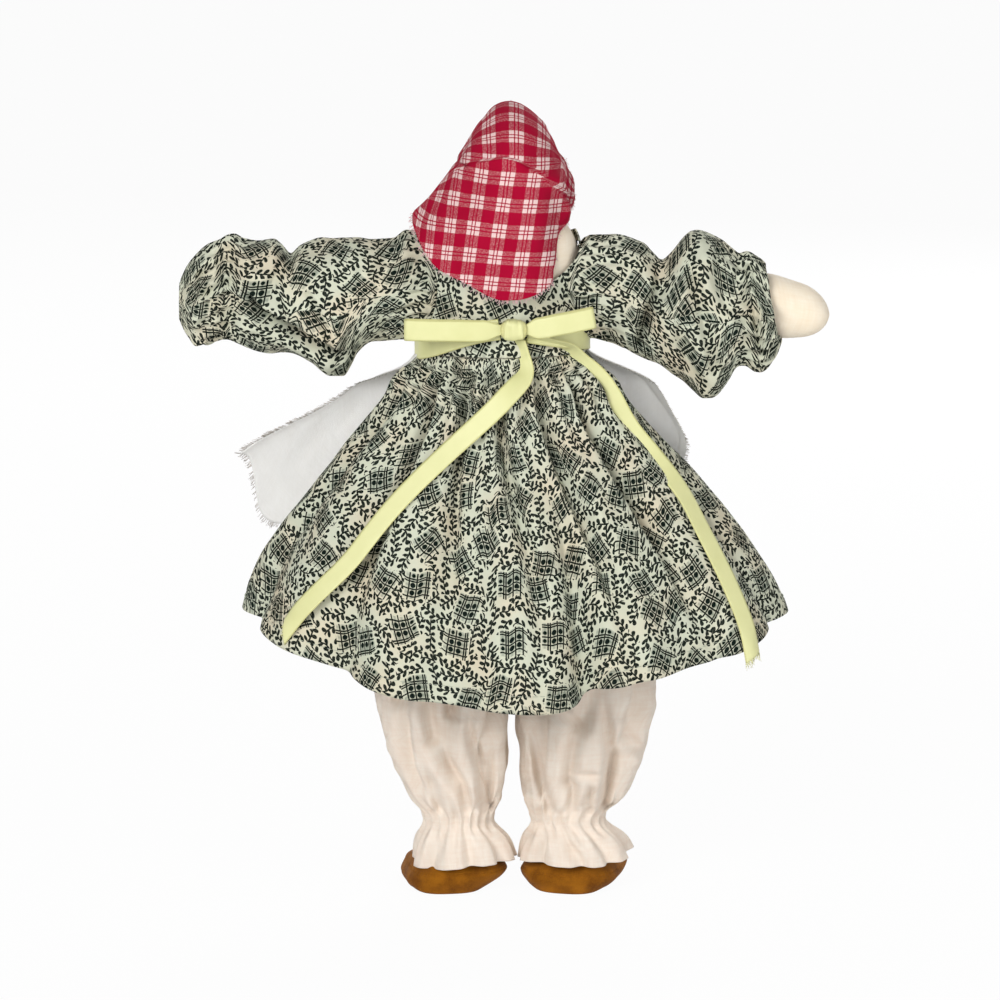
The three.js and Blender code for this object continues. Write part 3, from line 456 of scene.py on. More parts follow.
# stripes are the places in a repeat where white (1) and red (0) begin
plaidWeave = dict(
    red=tone(154, 8, 42), bright=tone(171, 15, 52), white=tone(230, 203, 200), repeat=12.8, thread=0.95,
    stripes=[(0.0, 1.0), (0.17, 0.0), (0.215, 1.0), (0.30, 0.0), (0.345, 1.0), (0.515, 0.0)],
)


def plaidPaint(wire):
    # homespun plaid: the same stripes both ways, and fine slanting threads where a red and a white one cross
    s = plaidWeave
    place, across, down = clothPlace(wire)
    waver = noiseAt(wire, place, 8) * 0.7
    ramp = {"interpolation": "CONSTANT", "stops": s["stripes"]}

    def striped(at):
        lap = wire.math("FRACT", at / s["repeat"] + 20.0)
        colour = wire.node("ShaderNodeValToRGB", ramp, {"Fac": lap})
        return wire.node("ShaderNodeSeparateColor", None, {"Color": colour}, "Red")

    warp, weft = striped(across + waver), striped(down + waver)
    twill = wire.math("FRACT", (across + down) / s["thread"] + 100.0) < 0.5
    fleck = noiseAt(wire, place, 0.7) > 0.52
    white = warp * weft + (warp + weft - warp * weft * 2) * (fleck * 0.17 + twill * 0.07 + 0.03)
    fuzz = noiseAt(wire, place, 0.55)
    red = colourMix(wire, noiseAt(wire, place, 15), s["red"], s["bright"])
    height = weave(wire, across, down, 0.6) * 0.4 + fuzz
    return colourMix(wire, white * (fuzz * 0.5 + 0.7), red, s["white"]), height, None


def muslinPaint(pale, deep, slub):
    def paint(wire):  # plain weave with slubs along both threads and a slow change of tone
        place, across, down = clothPlace(wire)
        slubs = [noiseAt(wire, place, slub, 3.0, stretch) * 0.5 for stretch in ((0.12, 1.0), (1.0, 0.12))]
        slubs = slubs[0] + slubs[1]
        cloud = noiseAt(wire, place, 14, 3.0)
        fleck = noiseAt(wire, place, 0.5, 1.0)
        factor = between(wire, slubs * 0.55 + cloud * 0.35 + fleck * 0.12, 0.3, 0.72)
        height = weave(wire, across, down, 0.5) * 0.35 + slubs * 1.2 + fleck * 0.3
        return colourMix(wire, factor, pale, deep), height, None
    return paint


def satinPaint(wire):
    # ribbed satin: fine lines along the ribbon, closed by a darker selvedge thread at each side
    place, across, down = clothPlace(wire)
    selvedge = abs(across) > 4.45
    picot = wave(wire, down, 0.7) * selvedge
    cloud = noiseAt(wire, place, 9)
    middle = colourMix(wire, cloud, tone(212, 212, 150), tone(222, 221, 164))
    colour = colourMix(wire, selvedge * 0.45 + picot * 0.2, middle, tone(196, 190, 118))
    return colour, wave(wire, across, 0.55) * 0.35 + picot * 0.8, 0.34 + cloud * 0.18


def mustardPaint(wire):  # brushed cotton: mottled, with a fine nap
    across, down = clothPlace(wire)[1:]
    spot = inMillimetres(wire, wire.node("ShaderNodeTexCoord", None, None, "Object"))
    nap = noiseAt(wire, spot, 0.6)
    factor = between(wire, noiseAt(wire, spot, 9, 3.0) * 0.75 + nap * 0.25, 0.3, 0.7)
    height = weave(wire, across, down, 0.6) * 0.3 + nap
    return colourMix(wire, factor, tone(106, 60, 8), tone(162, 102, 20)), height, None


def beadPaint(wire):  # black glass bead with faint turning marks
    marks = noiseAt(wire, clothPlace(wire)[0], 1.2)
    return colourMix(wire, marks, tone(10, 10, 11), tone(24, 22, 24)), None, 0.08 + marks * 0.12


def elasticPaint(wire):  # covered elastic: ribs along its length, with painted shade darkening the grooves between them
    ribsAndGrooveShade = wave(wire, clothPlace(wire)[1], 0.8) * 0.5 + 0.5
    # painted shade: the colour follows the rib height, so the grooves between the ribs are darker
    return colourMix(wire, ribsAndGrooveShade, tone(222, 218, 208), tone(244, 242, 236)), ribsAndGrooveShade, None


def threadPaint(*colour):
    def paint(wire):  # spun thread: a faint change of tone along it
        spot = wire.node("ShaderNodeTexCoord", None, None, "Object")
        drift = wire.node("ShaderNodeTexNoise", None, {"Vector": spot, "Scale": 900.0, "Detail": 1.0})
        light = tone(*colour)
        return colourMix(wire, drift, light, tuple(c * 0.72 for c in light)), None, None
    return paint


muslinTone = muslinPaint(tone(250, 240, 222), tone(240, 222, 194), 1.3)
bloomerTone = muslinPaint(tone(253, 245, 233), tone(240, 219, 200), 1.5)
apronTone = muslinPaint(tone(253, 250, 245), tone(242, 238, 231), 1.1)
calico = finish("calico_print", calicoPaint, 0.9, 0.0, 0.04)
plaid = finish("red_homespun", plaidPaint, 0.95, 0.02, 0.04)
muslin = finish("muslin", muslinTone, 0.95, 0.15)
bloomerCloth = finish("bloomer_muslin", bloomerTone, 0.95, 0.1, bumpSize=0.2)
apronCloth = finish("apron_muslin", apronTone, 0.94, 0.1, through=0.7)
satin = finish("satin_ribbon", satinPaint, 0.4, 0.0, 0.5, bumpSize=0.05)
mustard = finish("mustard_cotton", mustardPaint, 0.95, 0.06, 0.12)
bead = finish("black_bead", beadPaint, 0.12, 0.0, 0.6)
elasticBand = finish("covered_elastic", elasticPaint, 0.85)
hemThread = finish("hem_thread", threadPaint(196, 204, 186), 0.9)
apronThread = finish("apron_thread", threadPaint(214, 206, 198), 0.9)
plaidThread = finish("plaid_thread", threadPaint(244, 204, 206), 0.9)
ribbonThread = finish("ribbon_thread", threadPaint(240, 238, 178), 0.6)


# each lamp has its power, size and place; camera from behind, as in the photograph
studio = dict(
    distance=2.5, lens=187.5, rise=10, aim=(1.2, 0, 190), lampAim=(0, 0, 0.2), floorHalf=45.0, paper=0.86,
    floorSeen=0.96, world=0.14, worldSeen=0.965,
    lamps=dict(key=(39, 1.1, (1.05, 1.95, 1.2)), fill=(18, 1.6, (-1.6, 1.3, 0.7)), rim=(5, 1.2, (0.3, -1.6, 1.5)),
               low=(8, 1.0, (0.35, 2.2, 0.25)), front=(30, 1.2, (-0.7, -2.1, 1.1))),
)


def makeStudio():
    view = bpy.data.cameras.new("camera")
    view.lens, view.sensor_width, view.clip_end = studio["lens"], 36, 200
    scene.camera = camera = placed("camera", view)
    rise = math.radians(studio["rise"])
    back = np.array([0, math.cos(rise), math.sin(rise)])
    camera.location = np.array(studio["aim"]) * mm + studio["distance"] * back
    camera.rotation_euler = (math.radians(90) - rise, 0, math.radians(180))
    for name, (power, size, place) in studio["lamps"].items():
        light = bpy.data.lights.new(name, "AREA")
        light.energy, light.size = power, size
        lamp = placed(name, light)
        back = np.array(place) - np.array(studio["lampAim"])
        lamp.location = place
        lamp.rotation_euler = (math.acos(back[2] / np.linalg.norm(back)), 0, math.atan2(back[0], -back[1]))


def seenRays(wire):  # 1 for what the camera sees, also by a reflection or through something clear
    seen = wire.node("ShaderNodeLightPath", None, None, "Is Camera Ray")
    by = wire.math("MAXIMUM", seen.other("Is Glossy Ray"), seen.other("Is Transmission Ray"))
    return wire.math("MAXIMUM", seen, by)


def makeFloor():
    half = studio["floorHalf"]
    mesh = bpy.data.meshes.new("floor")
    corners = [(-half, -half, 0), (half, -half, 0), (half, half, 0), (-half, half, 0)]
    mesh.from_pydata(corners, [], [(0, 1, 2, 3)])
    floor = placed("floor", mesh)
    material = bpy.data.materials.new("floor_paper")
    wire = bareTree(material)
    paper = wire.node("ShaderNodeBsdfDiffuse", None, {"Color": (studio["paper"],) * 3 + (1,)})
    white = wire.node("ShaderNodeEmission", None, {"Color": (1, 1, 1, 1), "Strength": 1.0})
    share = seenRays(wire) * studio["floorSeen"]
    wire.node("ShaderNodeMixShader", None, {0: share, 1: paper, 2: white}).endIn("ShaderNodeOutputMaterial")
    mesh.materials.append(material)
    floor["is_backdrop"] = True
    world = bpy.data.worlds.new("studio")
    scene.world = world
    wire = bareTree(world)
    # as pale as the floor where it is seen, so no horizon shows
    strength = seenRays(wire) * (studio["worldSeen"] - studio["world"]) + studio["world"]
    sky = wire.node("ShaderNodeBackground", None, {"Color": (1, 1, 1, 1), "Strength": strength})
    sky.endIn("ShaderNodeOutputWorld")


makeStudio()
makeFloor()
print("studio and finishes ready")


# heights in mm; torso has a height, half its width and half its depth in each row
body = dict(
    waist=263, shoulder=321, headX=-6, headY=-3, headZ=353, headHalf=(22, 29, 29), headRoom=0.6,
    bodiceHalf=(39.6, 27.6), band=277, bandDrop=8,
    torso=[(205.3, 28.12, 13), (209.3, 34.2, 20.8), (220.3, 38, 26), (299, 38, 26), (313, 36.1, 23.4),
           (321, 32.68, 20.28), (328, 26.6, 16.12), (333, 19.76, 13)],
)
headSpot = np.array([body["headX"], body["headY"], body["headZ"]], float)

# the dress is one surface that the skirt, the ribbon tails and the apron share
dress = dict(
    half=(133, 88), backDrop=159, sideDrop=126, sway=6, belly=0.65, folds=12, foldDepth=11, gathers=34,
    gatherDepth=9, longFolds=15, longDepth=16, tuckAt=-0.285, tuckDepth=10, columns=480, rows=86, hem=8.5, stitches=230,
)


def skirtDrop(angle):
    return mixed(dress["backDrop"], dress["sideDrop"], np.sin(angle) ** 2)


def dressAt(z, angle, out):
    # oval of the dress at a height, let out by out: angle 0 at the back, growing to the doll's left
    fall = np.maximum(0, (body["waist"] - z) / skirtDrop(angle))
    flare = fall + dress["belly"] * fall**2 * (1 - fall)
    wide, deep = (mixed(top, low, flare) + out for top, low in zip(body["bodiceHalf"], dress["half"]))
    return joined(-dress["sway"] * fall + wide * np.sin(angle), deep * np.cos(angle), z)


def valley(phase, power):  # narrow valleys between broad crests, 0 to 1
    return (0.5 + 0.5 * np.cos(phase)) ** power


def skirtFold(angle, fall):
    # inward depth of the cloth: hem folds, long leaning folds, gathers that fade below the waist, and one deep
    # tuck; no deeper than the room that the flare leaves over the body
    lap = angle / turn
    hem = dress["foldDepth"] * fall * (0.72 + 0.28 * np.sin(2 * angle + 1))
    hem = hem * valley(dress["folds"] * angle + np.pi + 0.7 * ripple(lap * 9, fall * 3, 11, 9), 1.25)
    lean = dress["longFolds"] * angle + 2.4 * ripple(lap * 8, fall * 1.4, 12, 8)
    long = dress["longDepth"] * ease(fall, 0.045, 0.16) * (1 - 0.8 * ease(fall, 0.35, 0.95))
    long = long * valley(lean + 0.7 * np.sin(lean), 3.0) * (0.7 + 0.5 * ripple(lap * 7, fall * 1.5, 15, 7))
    gather = dress["gatherDepth"] * ease(fall, 0.03, 0.06) * np.exp(-np.maximum(fall - 0.035, 0) / 0.12)
    gather = gather * valley(dress["gathers"] * angle + 1.9 * ripple(lap * 17, fall * 5, 13, 17), 1.8)
    puff = 3.4 * bell(fall, 0.105, 0.055)
    signed = np.angle(np.exp(1j * angle))
    tuck = dress["tuckDepth"] * ease(fall, 0.25, 0.75) * bell(signed + 0.05 * (1 - fall), dress["tuckAt"], 0.05)
    rumple = 1.2 * ease(fall, 0.05, 0.3) * (1 + ripple(lap * 40, fall * 9, 14, 40))
    room = 0.8 + 62 * fall + puff
    return room * np.tanh((hem + long + gather + tuck + rumple) / room) - puff


def hemLift(angle):  # the hem steps up beside the deep tuck
    signed = np.angle(np.exp(1j * angle))
    return 5.5 * ease(-signed, 0.25, 0.33) * (1 - ease(-signed, 0.45, 0.95)) - 1.5 * bell(signed, -0.15, 0.12)


def skirtPoint(angle, fall):
    z = body["waist"] - 0.3 - fall * (skirtDrop(angle) - hemLift(angle) * fall**2)
    return dressAt(z, angle, -skirtFold(angle, fall))


# route: drop below the bow, angle round the dress in degrees, distance from the dress;
# twist: share of the length, turn of the ribbon in degrees
tails = dict(
    width=10, points=40, finePoints=160, columns=9,
    left=dict(
        exit=(-5.3, 27.8, 270), slant=4.5, seed=105, threads=26, threadLong=1.2,
        route=[(4.5, -9, 4.6), (9, -11.5, 3.9), (18, -13.5, 3.2), (30, -2, 2.4), (55, 22, 1.6), (78, 35.5, 1.6),
               (110, 45, 1.6), (142, 57, 1.6)],
        twist=[(0, 50), (0.05, 46), (0.13, 12), (0.19, 0), (1, 0)]),
    right=dict(
        exit=(-15.5, 29.5, 270), slant=-2.0, seed=106, threads=60, threadLong=2.6,
        route=[(5, -14, 3.8), (7, -28, 4.6), (11, -50, 5.0), (25, -65, 3.4), (68, -63.5, 1.6), (114, -58, 1.6),
               (155, -57, 1.6)],
        twist=[(0, 40), (0.08, 58), (0.2, 64), (0.36, 58), (0.5, 18), (0.62, 0), (1, 0)]),
)


def tailPath(route, count):
    # the route on the dress, evenly spaced by length, let out from the folds that it lies across
    drops = np.linspace(route[0][0], route[-1][0], 400)
    angle, out = curves(route, drops)
    angle = np.radians(angle)
    z = body["band"] - drops
    fall = np.maximum(0, (body["waist"] - 0.3 - z) / skirtDrop(angle))
    near = [skirtFold(angle + shift / 60, np.maximum(fall + rise, 0))
            for shift in (-8, -5, -2, 0, 2, 5, 8) for rise in (-0.03, 0, 0.03)]
    crest = smoothed(np.min(near, axis=0), 20)
    rest = out - crest * np.where(crest < 0, ease(fall, 0, 0.05), ease(fall, 0.03, 0.15)) + 0.3
    path = dressAt(z, angle, rest)
    sideways = dressAt(z, angle + 0.02, rest) - path
    downwards = dressAt(z - 1, angle, rest) - path
    run = runAlong(path)
    even = np.linspace(0, run[-1], count)
    return sampled(even, run, path), unit(sampled(even, run, np.cross(downwards, sideways)))


def turnedAbout(vectors, axis, angle):  # vectors square to a unit axis, turned about it
    return vectors * np.cos(angle)[:, None] + np.cross(axis, vectors) * np.sin(angle)[:, None]


def makeTail(side):
    s, columns = tails[side], tails["columns"]
    path, normals = tailPath(s["route"], tails["points"])
    fine, spots = np.linspace(0, 1, tails["finePoints"]), np.linspace(0, 1, tails["points"])
    finer = np.stack([smoothed(column, 3) for column in sampled(fine, spots, path).T], axis=-1)
    normals = sampled(fine, spots, normals)
    along = unit(np.gradient(finer, axis=0))
    roll = np.radians(curves(s["twist"], fine)[0])
    finer = finer + normals * (np.abs(np.sin(roll)) * 4.4)[:, None]
    path = finer[np.linspace(0, len(finer) - 1, tails["points"]).round().astype(int)]
    length = runAlong(finer)[-1]
    normals = turnedAbout(normals, along, roll)
    grid = ribbonGrid(finer, normals, tails["width"], columns, 0.1)
    across = np.linspace(-1, 1, columns)[None, :]
    cut = s["slant"] * across * ease(fine, 0.93, 1.0)[:, None]  # the end is cut on a slant, and curls
    curl = 1.6 * across**2 * ease(fine, 0.9, 1.0)[:, None]
    grid = grid + along[:, None] * cut[:, :, None] + normals[:, None] * curl[:, :, None]
    tail = ribbonPiece(f"ribbon_tail_{side}", grid, length, finer[:, None] - normals[:, None] * 20)
    rng = np.random.default_rng(s["seed"])
    spots = np.sort(rng.uniform(0, columns - 1, s["threads"]))
    root, away = (sampled(spots, np.arange(columns), line) for line in (grid[-1], grid[-1] - grid[-4]))
    fray = strands(rng, root, unit(away), (0.4, s["threadLong"]), 0.45, (-0.1, 0.4, 0.75, 1.0)) - normals[-1] * 0.1
    fray = threads(f"ribbon_fray_{side}", np.tile(normals[-1], (s["threads"], 1)), fray, 0.09)
    piece(fray, ribbonThread, "torso")
    (path * mm).tolist()


for name, _ in sides:
    makeTail(name)
print("ribbon tails laid")


def makeSkirt():
    angle = ringAngles(dress["columns"])
    fall = (np.linspace(0, 1, dress["rows"]) ** 1.12)[:, None]
    grid = skirtPoint(angle, fall)
    hem = 1 - dress["hem"] / 150
    grid += facing(grid, True, middles(grid)) * (0.45 * ease(fall, hem, hem + 0.012))[:, :, None]
    plan = clothPlan(grid, True)
    total = plan[:, -1, 0] - plan[:, 0, 0]
    plan[:, :, 0] *= (mixed(total, total[-1], 0.45) / total)[:, None]  # gathered cloth shows a part of its width
    mesh = gridMesh("dress_skirt_cloth", grid, plan, wrap=True)
    skirt = piece(mesh, calico, "torso", ["dress_skirt"], clothThick)
    # running stitches along the top of the hem
    normals = facing(grid, True, middles(grid))
    row = int(np.argmin(np.abs(fall[:, 0] - hem)))
    count, columns = dress["stitches"], dress["columns"]
    spots = (np.arange(count)[:, None] + np.array([0.0, 0.22, 0.44, 0.62])) * columns / count
    lines = (grid[row] + normals[row] * 0.2, normals[row])
    stitch, lift = (sampled(spots, np.arange(columns + 1), np.vstack([line, line[:1]])) for line in lines)
    stitch = stitch + lift * np.array([-0.1, 0.16, 0.16, -0.1])[None, :, None]
    stitches = piece(threads("dress_hem_stitches", lift[:, 1], stitch, 0.16), hemThread, "torso")
    wide = total[-1] * mm
    round(0.72 * wide * 0.165, 5)
    print("skirt", round(wide, 3), "m round its hem")


def bodiceTop(angle):  # lower at the doll's right, where the stuffed shoulder shows
    back = np.maximum(np.cos(angle), 0)
    scoop = mixed(27.5 * back**1.1, 20 * back**2, ease(np.sin(angle), -0.2, 0.2))
    return body["shoulder"] - scoop - 9 * np.maximum(-np.cos(angle), 0) ** 2


def makeBodice():
    angle, share = ringAngles(240), np.linspace(0, 1, 40)[:, None]
    z = mixed(body["waist"], bodiceTop(angle), share)
    wide, deep = curves(body["torso"], z)
    lap = angle / turn
    gather = 0.8 * (1 - share) ** 2 * np.cos(34 * angle + 2 * ripple(lap * 11, share * 3, 21, 11))
    out = 1.6 + np.maximum(gather, -0.3) + 0.7 * (0.5 + 0.5 * ripple(lap * 16, z / 14, 22, 16))
    out = out + 0.5 * ease(share, 0.94, 0.97)  # turned edge of the neckline
    grid = joined((wide + out) * np.sin(angle), (deep + out) * np.cos(angle), z)
    armhole = np.hypot(grid[:, :, 1], grid[:, :, 2] - 300) < 15
    skip = armhole[:-1] & (np.abs(grid[:-1, :, 0]) > 20)
    mesh = gridMesh("dress_bodice_cloth", grid, clothPlan(grid, True), wrap=True, skip=skip)
    bodice = piece(mesh, calico, "torso", ["dress_bodice"], clothThick)


makeSkirt()
makeBodice()
print("dress sewn")


def makeTorso():
    angle = ringAngles(96)
    z = np.linspace(body["torso"][0][0], body["torso"][-1][0], 70)[:, None]
    wide, deep = curves(body["torso"], z)
    pucker = 0.35 * ripple(angle / turn * 24, z / 5, 31, 24) - 0.3
    grid = joined((wide + pucker) * np.sin(angle), (deep + pucker) * np.cos(angle), z)
    roomX, roomY = (half + body["headRoom"] for half in body["headHalf"][:2])  # the head sinks into its top
    offX, offY = (grid[:, :, 0] - body["headX"]) / roomX, (grid[:, :, 1] - body["headY"]) / roomY
    headLow = body["headZ"] - roomY * np.sqrt(np.maximum(0.02, 1 - offX**2 - offY**2))
    under = np.hypot(offX, offY) < 0.99
    grid[:, :, 2] = np.where(under, np.minimum(grid[:, :, 2], headLow), grid[:, :, 2])
    closedPiece("torso_stuffed", grid, muslin, "torso", ["torso"])


# rows: distance from the shoulder, half height, half depth, drop below the arm's own slope
arms = dict(
    pivotX=38.9, pivotZ=300, slope=0.128, tip=117,
    rows=[(-0.5, 0.9, 8, 0), (4, 4.2, 9.5, 0), (10, 9.5, 11.44, 0), (18, 13.02, 13, 0), (45, 14, 13, 0.2),
          (80, 14, 12.5, 1.6), (92, 14.8, 12, 2.4), (102, 13.4, 11, 2.6), (109, 11, 9.2, 2.7), (113.5, 7.6, 6.6, 2.8),
          (116, 4, 3.6, 2.8), (117, 0.6, 0.6, 2.8)],
)


def makeArm(name, side):
    left, right = side > 0, side < 0
    angle = ringAngles(64, 0)
    reach = np.concatenate([np.linspace(-0.5, 100, 60), np.linspace(101, arms["tip"], 24)])[:, None]
    high, deep, sink = curves(arms["rows"], reach)
    narrow = 1 - 0.14 * ease(reach, 84, 94) * left  # the left hand stays in its ruffle
    high, deep = high * narrow, deep * narrow
    reach = reach - 0.24 * np.maximum(reach - 86, 0) * left
    high = high - 3.4 * bell(reach, 37, 7) * right  # drawn in where the right sleeve dips
    sink = sink + 2.2 * ease(reach, 66, 96) * right
    seam = bell(np.cos(angle), 0, 0.1)
    pucker = seam * (0.35 * np.sin(reach * 1.9) - 0.35) + 0.3 * ripple(angle / turn * 8, reach / 9, 41 + side, 8)
    pucker = pucker * ease(high, 3, 9)
    z = arms["pivotZ"] - sink - arms["slope"] * np.maximum(reach, 0) + (high + pucker) * np.sin(angle)
    grid = joined(side * (arms["pivotX"] + reach), -(deep + pucker) * np.cos(angle), z)
    closedPiece(f"arm_{name}_stuffed", grid, muslin, f"arm_{name}", [f"arm_{name}"])


def ballGrid(half, rows, columns):  # ball of those half sizes, its poles left and right
    tilt = np.linspace(0.03, np.pi - 0.03, rows)[:, None]
    angle = ringAngles(columns, 0)
    ring = np.sin(tilt)
    return joined(half[0] * np.cos(tilt), half[1] * ring * np.cos(angle), half[2] * ring * np.sin(angle))


def headReach(direction):  # from the middle of the head to its skin
    x, y, z = np.moveaxis(direction, -1, 0)
    return 1 / np.hypot(x / body["headHalf"][0], np.hypot(y, z) / body["headHalf"][1])


def headDirection(around, tilt):
    return joined(np.sin(tilt) * np.sin(around), np.sin(tilt) * np.cos(around), np.cos(tilt))


eyes = dict(around=148, tilt=72, half=2.5, out=2.0)


def makeHead():
    grid = ballGrid(body["headHalf"], 60, 96)
    x, y, z = np.moveaxis(grid, -1, 0)
    lap = np.arange(96)[None, :] / 96
    seam = 0.02 * bell(x, 0, 0.9) * (1 + 0.4 * np.sin(lap * turn * 40))  # centre seam, drawn in
    grid = grid * (1 - seam + 0.006 * ripple(lap * 12, x / 6 + 20, 51, 12))[:, :, None]
    x, y, z = np.moveaxis(grid, -1, 0)
    grid[:, :, 0] = x * (1 - 0.22 * ease(z, 9, 20) - 0.16 * ease(z, -8, 10) * ease(y, -24, -8))
    grid = headSpot + grid * (1 - 0.04 * ease(grid[:, :, 2:], 9, 24))
    closedPiece("head_stuffed", grid, muslin, "head", ["head"])
    for name, side in sides:
        direction = headDirection(side * math.radians(eyes["around"]), math.radians(eyes["tilt"]))
        spot = headSpot + direction * (headReach(direction) + eyes["out"])
        ball = spot + ballGrid((eyes["half"],) * 3, 20, 28)
        closedPiece(f"eye_{name}_bead", ball, bead, "head", [f"eye_{name}"])


# rows: distance before the head's middle, shares of the half width and half height, rise
bill = dict(
    wide=14, high=7,
    rows=[(24, 0.78, 1.1, -3), (35.1, 0.8, 0.95, -3.6), (46.2, 0.94, 0.7, -5.5), (55.45, 1, 0.5, -6),
          (59.5, 0.8, 0.36, -5.6), (61, 0.4, 0.18, -5.3)],
)


def makeBill():
    reach = np.concatenate([np.linspace(24, 54, 34), np.linspace(54.6, 61, 22)])[:, None]
    angle = ringAngles(72, 0)
    wide, high, rise = curves(bill["rows"], reach)
    swell = 1 - bell(np.cos(angle), 0, 0.14) * (0.05 + 0.03 * np.sin(reach * 2.1))  # puckered seam round the edge
    x = headSpot[0] + wide * bill["wide"] * np.sin(angle) * swell
    z = headSpot[2] + rise + high * bill["high"] * np.cos(angle) * swell
    grid = joined(x, headSpot[1] - reach, z)
    closedPiece("bill_stuffed", grid, mustard, "head", ["bill"])


makeTorso()
for name, side in sides:
    makeArm(name, side)
makeHead()
makeBill()
print("stuffed pieces made")


# top, bottom and deep: distance from the shoulder, then height or half depth; creases and rolls: route over distance
# and height, width, depth; pocket: its line, depth and lip
sleeves = dict(
    left=dict(
        length=114.5, gather=93, slant=0, seed=61,
        top=[(-8, 319), (1, 319.5), (7, 320.5), (13, 316.5), (25, 315.5), (40, 315.5), (52, 315), (58, 312.5),
             (62, 309), (66, 313.5), (70, 316.5), (77, 315.5), (84, 315), (89, 317.5), (96, 315), (103, 311),
             (108, 306.5), (112, 301), (114.5, 296.5)],
        bottom=[(-8, 269), (3, 269), (10, 268.7), (18, 267.5), (25, 265.5), (30.5, 261), (33, 256), (37, 250.6),
                (43, 250.6), (52, 256.3), (63, 260.7), (78, 262.5), (88, 267.5), (93, 269.5), (100, 267), (107, 265.5),
                (111, 271), (114.5, 279)],
        deep=[(-8, 18), (3, 19), (10, 21), (25, 24), (40, 26), (56, 25), (70, 24), (84, 22), (93, 16.5), (98, 20),
              (106, 20), (111, 16.5), (114.5, 11)],
        pocket=([(34, 266), (46, 273), (58, 280), (70, 287), (84, 295)], 20.0, 6.5),
        creases=[([(53, 293), (46, 280), (38, 262)], 1.4, 3.0), ([(62, 316), (66, 304), (72, 295)], 2.6, 4.5),
                 ([(90, 312), (88, 300), (92, 288), (89, 276)], 2.6, 2.2),
                 ([(14, 316), (20, 296), (16, 276)], 4.0, 3.0),
                 ([(104, 300), (98, 290), (103, 279)], 2.4, 4.0), ([(28, 318), (30, 306)], 3.0, 2.5)],
        rolls=[([(100, 279), (80, 276), (62, 268), (44, 258)], 5.5, 3.5)]),
    right=dict(
        length=86.5, gather=77, slant=8, seed=71,
        top=[(-8, 319), (1.6, 317), (13, 317.5), (27, 315.5), (33, 310), (37, 307), (42, 311), (47, 317), (51, 319.5),
             (56, 319), (65, 315), (70, 311.5), (74, 308.5), (78, 309), (83, 306.5), (87, 302), (94.5, 292)],
        bottom=[(-8, 269), (3, 269.5), (13, 266), (28, 259.6), (38, 255), (46, 250), (52, 244.5), (57.5, 240.2),
                (62, 240.5), (65, 243), (69, 248.5), (72.5, 254.5), (77, 255.5), (82, 253.5), (87, 254.5), (91, 259.5),
                (94.5, 269)],
        deep=[(-8, 18), (3, 19), (13, 21), (27, 23), (40, 25), (55, 26), (65, 24.5), (72, 22), (78, 17.5), (82, 18.5),
              (87, 19.5), (91, 17.5), (94.5, 14)],
        creases=[([(39, 314), (37, 300), (31, 284), (27, 269)], 2.8, 11.0),
                 ([(52, 300), (56, 280), (62, 256)], 2.8, 5.0),
                 ([(77.5, 303), (79.5, 290), (82, 276), (84, 264)], 1.5, 5.0),
                 ([(64, 312), (62, 300), (68, 286)], 2.6, 4.0),
                 ([(15, 316), (18, 296), (14, 276)], 4.0, 3.0), ([(44, 276), (48, 262), (55, 248)], 2.6, 4.0),
                 ([(73, 304), (70, 292), (74, 280)], 2.2, 3.0)],
        rolls=[([(46, 316), (46, 296), (42, 276)], 5.0, 3.0), ([(70, 300), (70, 280), (66, 262)], 5.0, 2.0)]),
)


def elasticRing(node, bearer, band, thickness):  # crimped elastic in its casing
    mesh = gridMesh(f"{node}_band", band, clothPlan(band, True), wrap=True)
    piece(mesh, elasticBand, bearer, [node], thickness)


def sleeveStart(angle):  # the sleeve head lies against the side of the bodice
    wide, deep = body["bodiceHalf"]
    return wide * np.sqrt(1 - (17 * np.cos(angle) / deep) ** 2) - arms["pivotX"] - 0.2


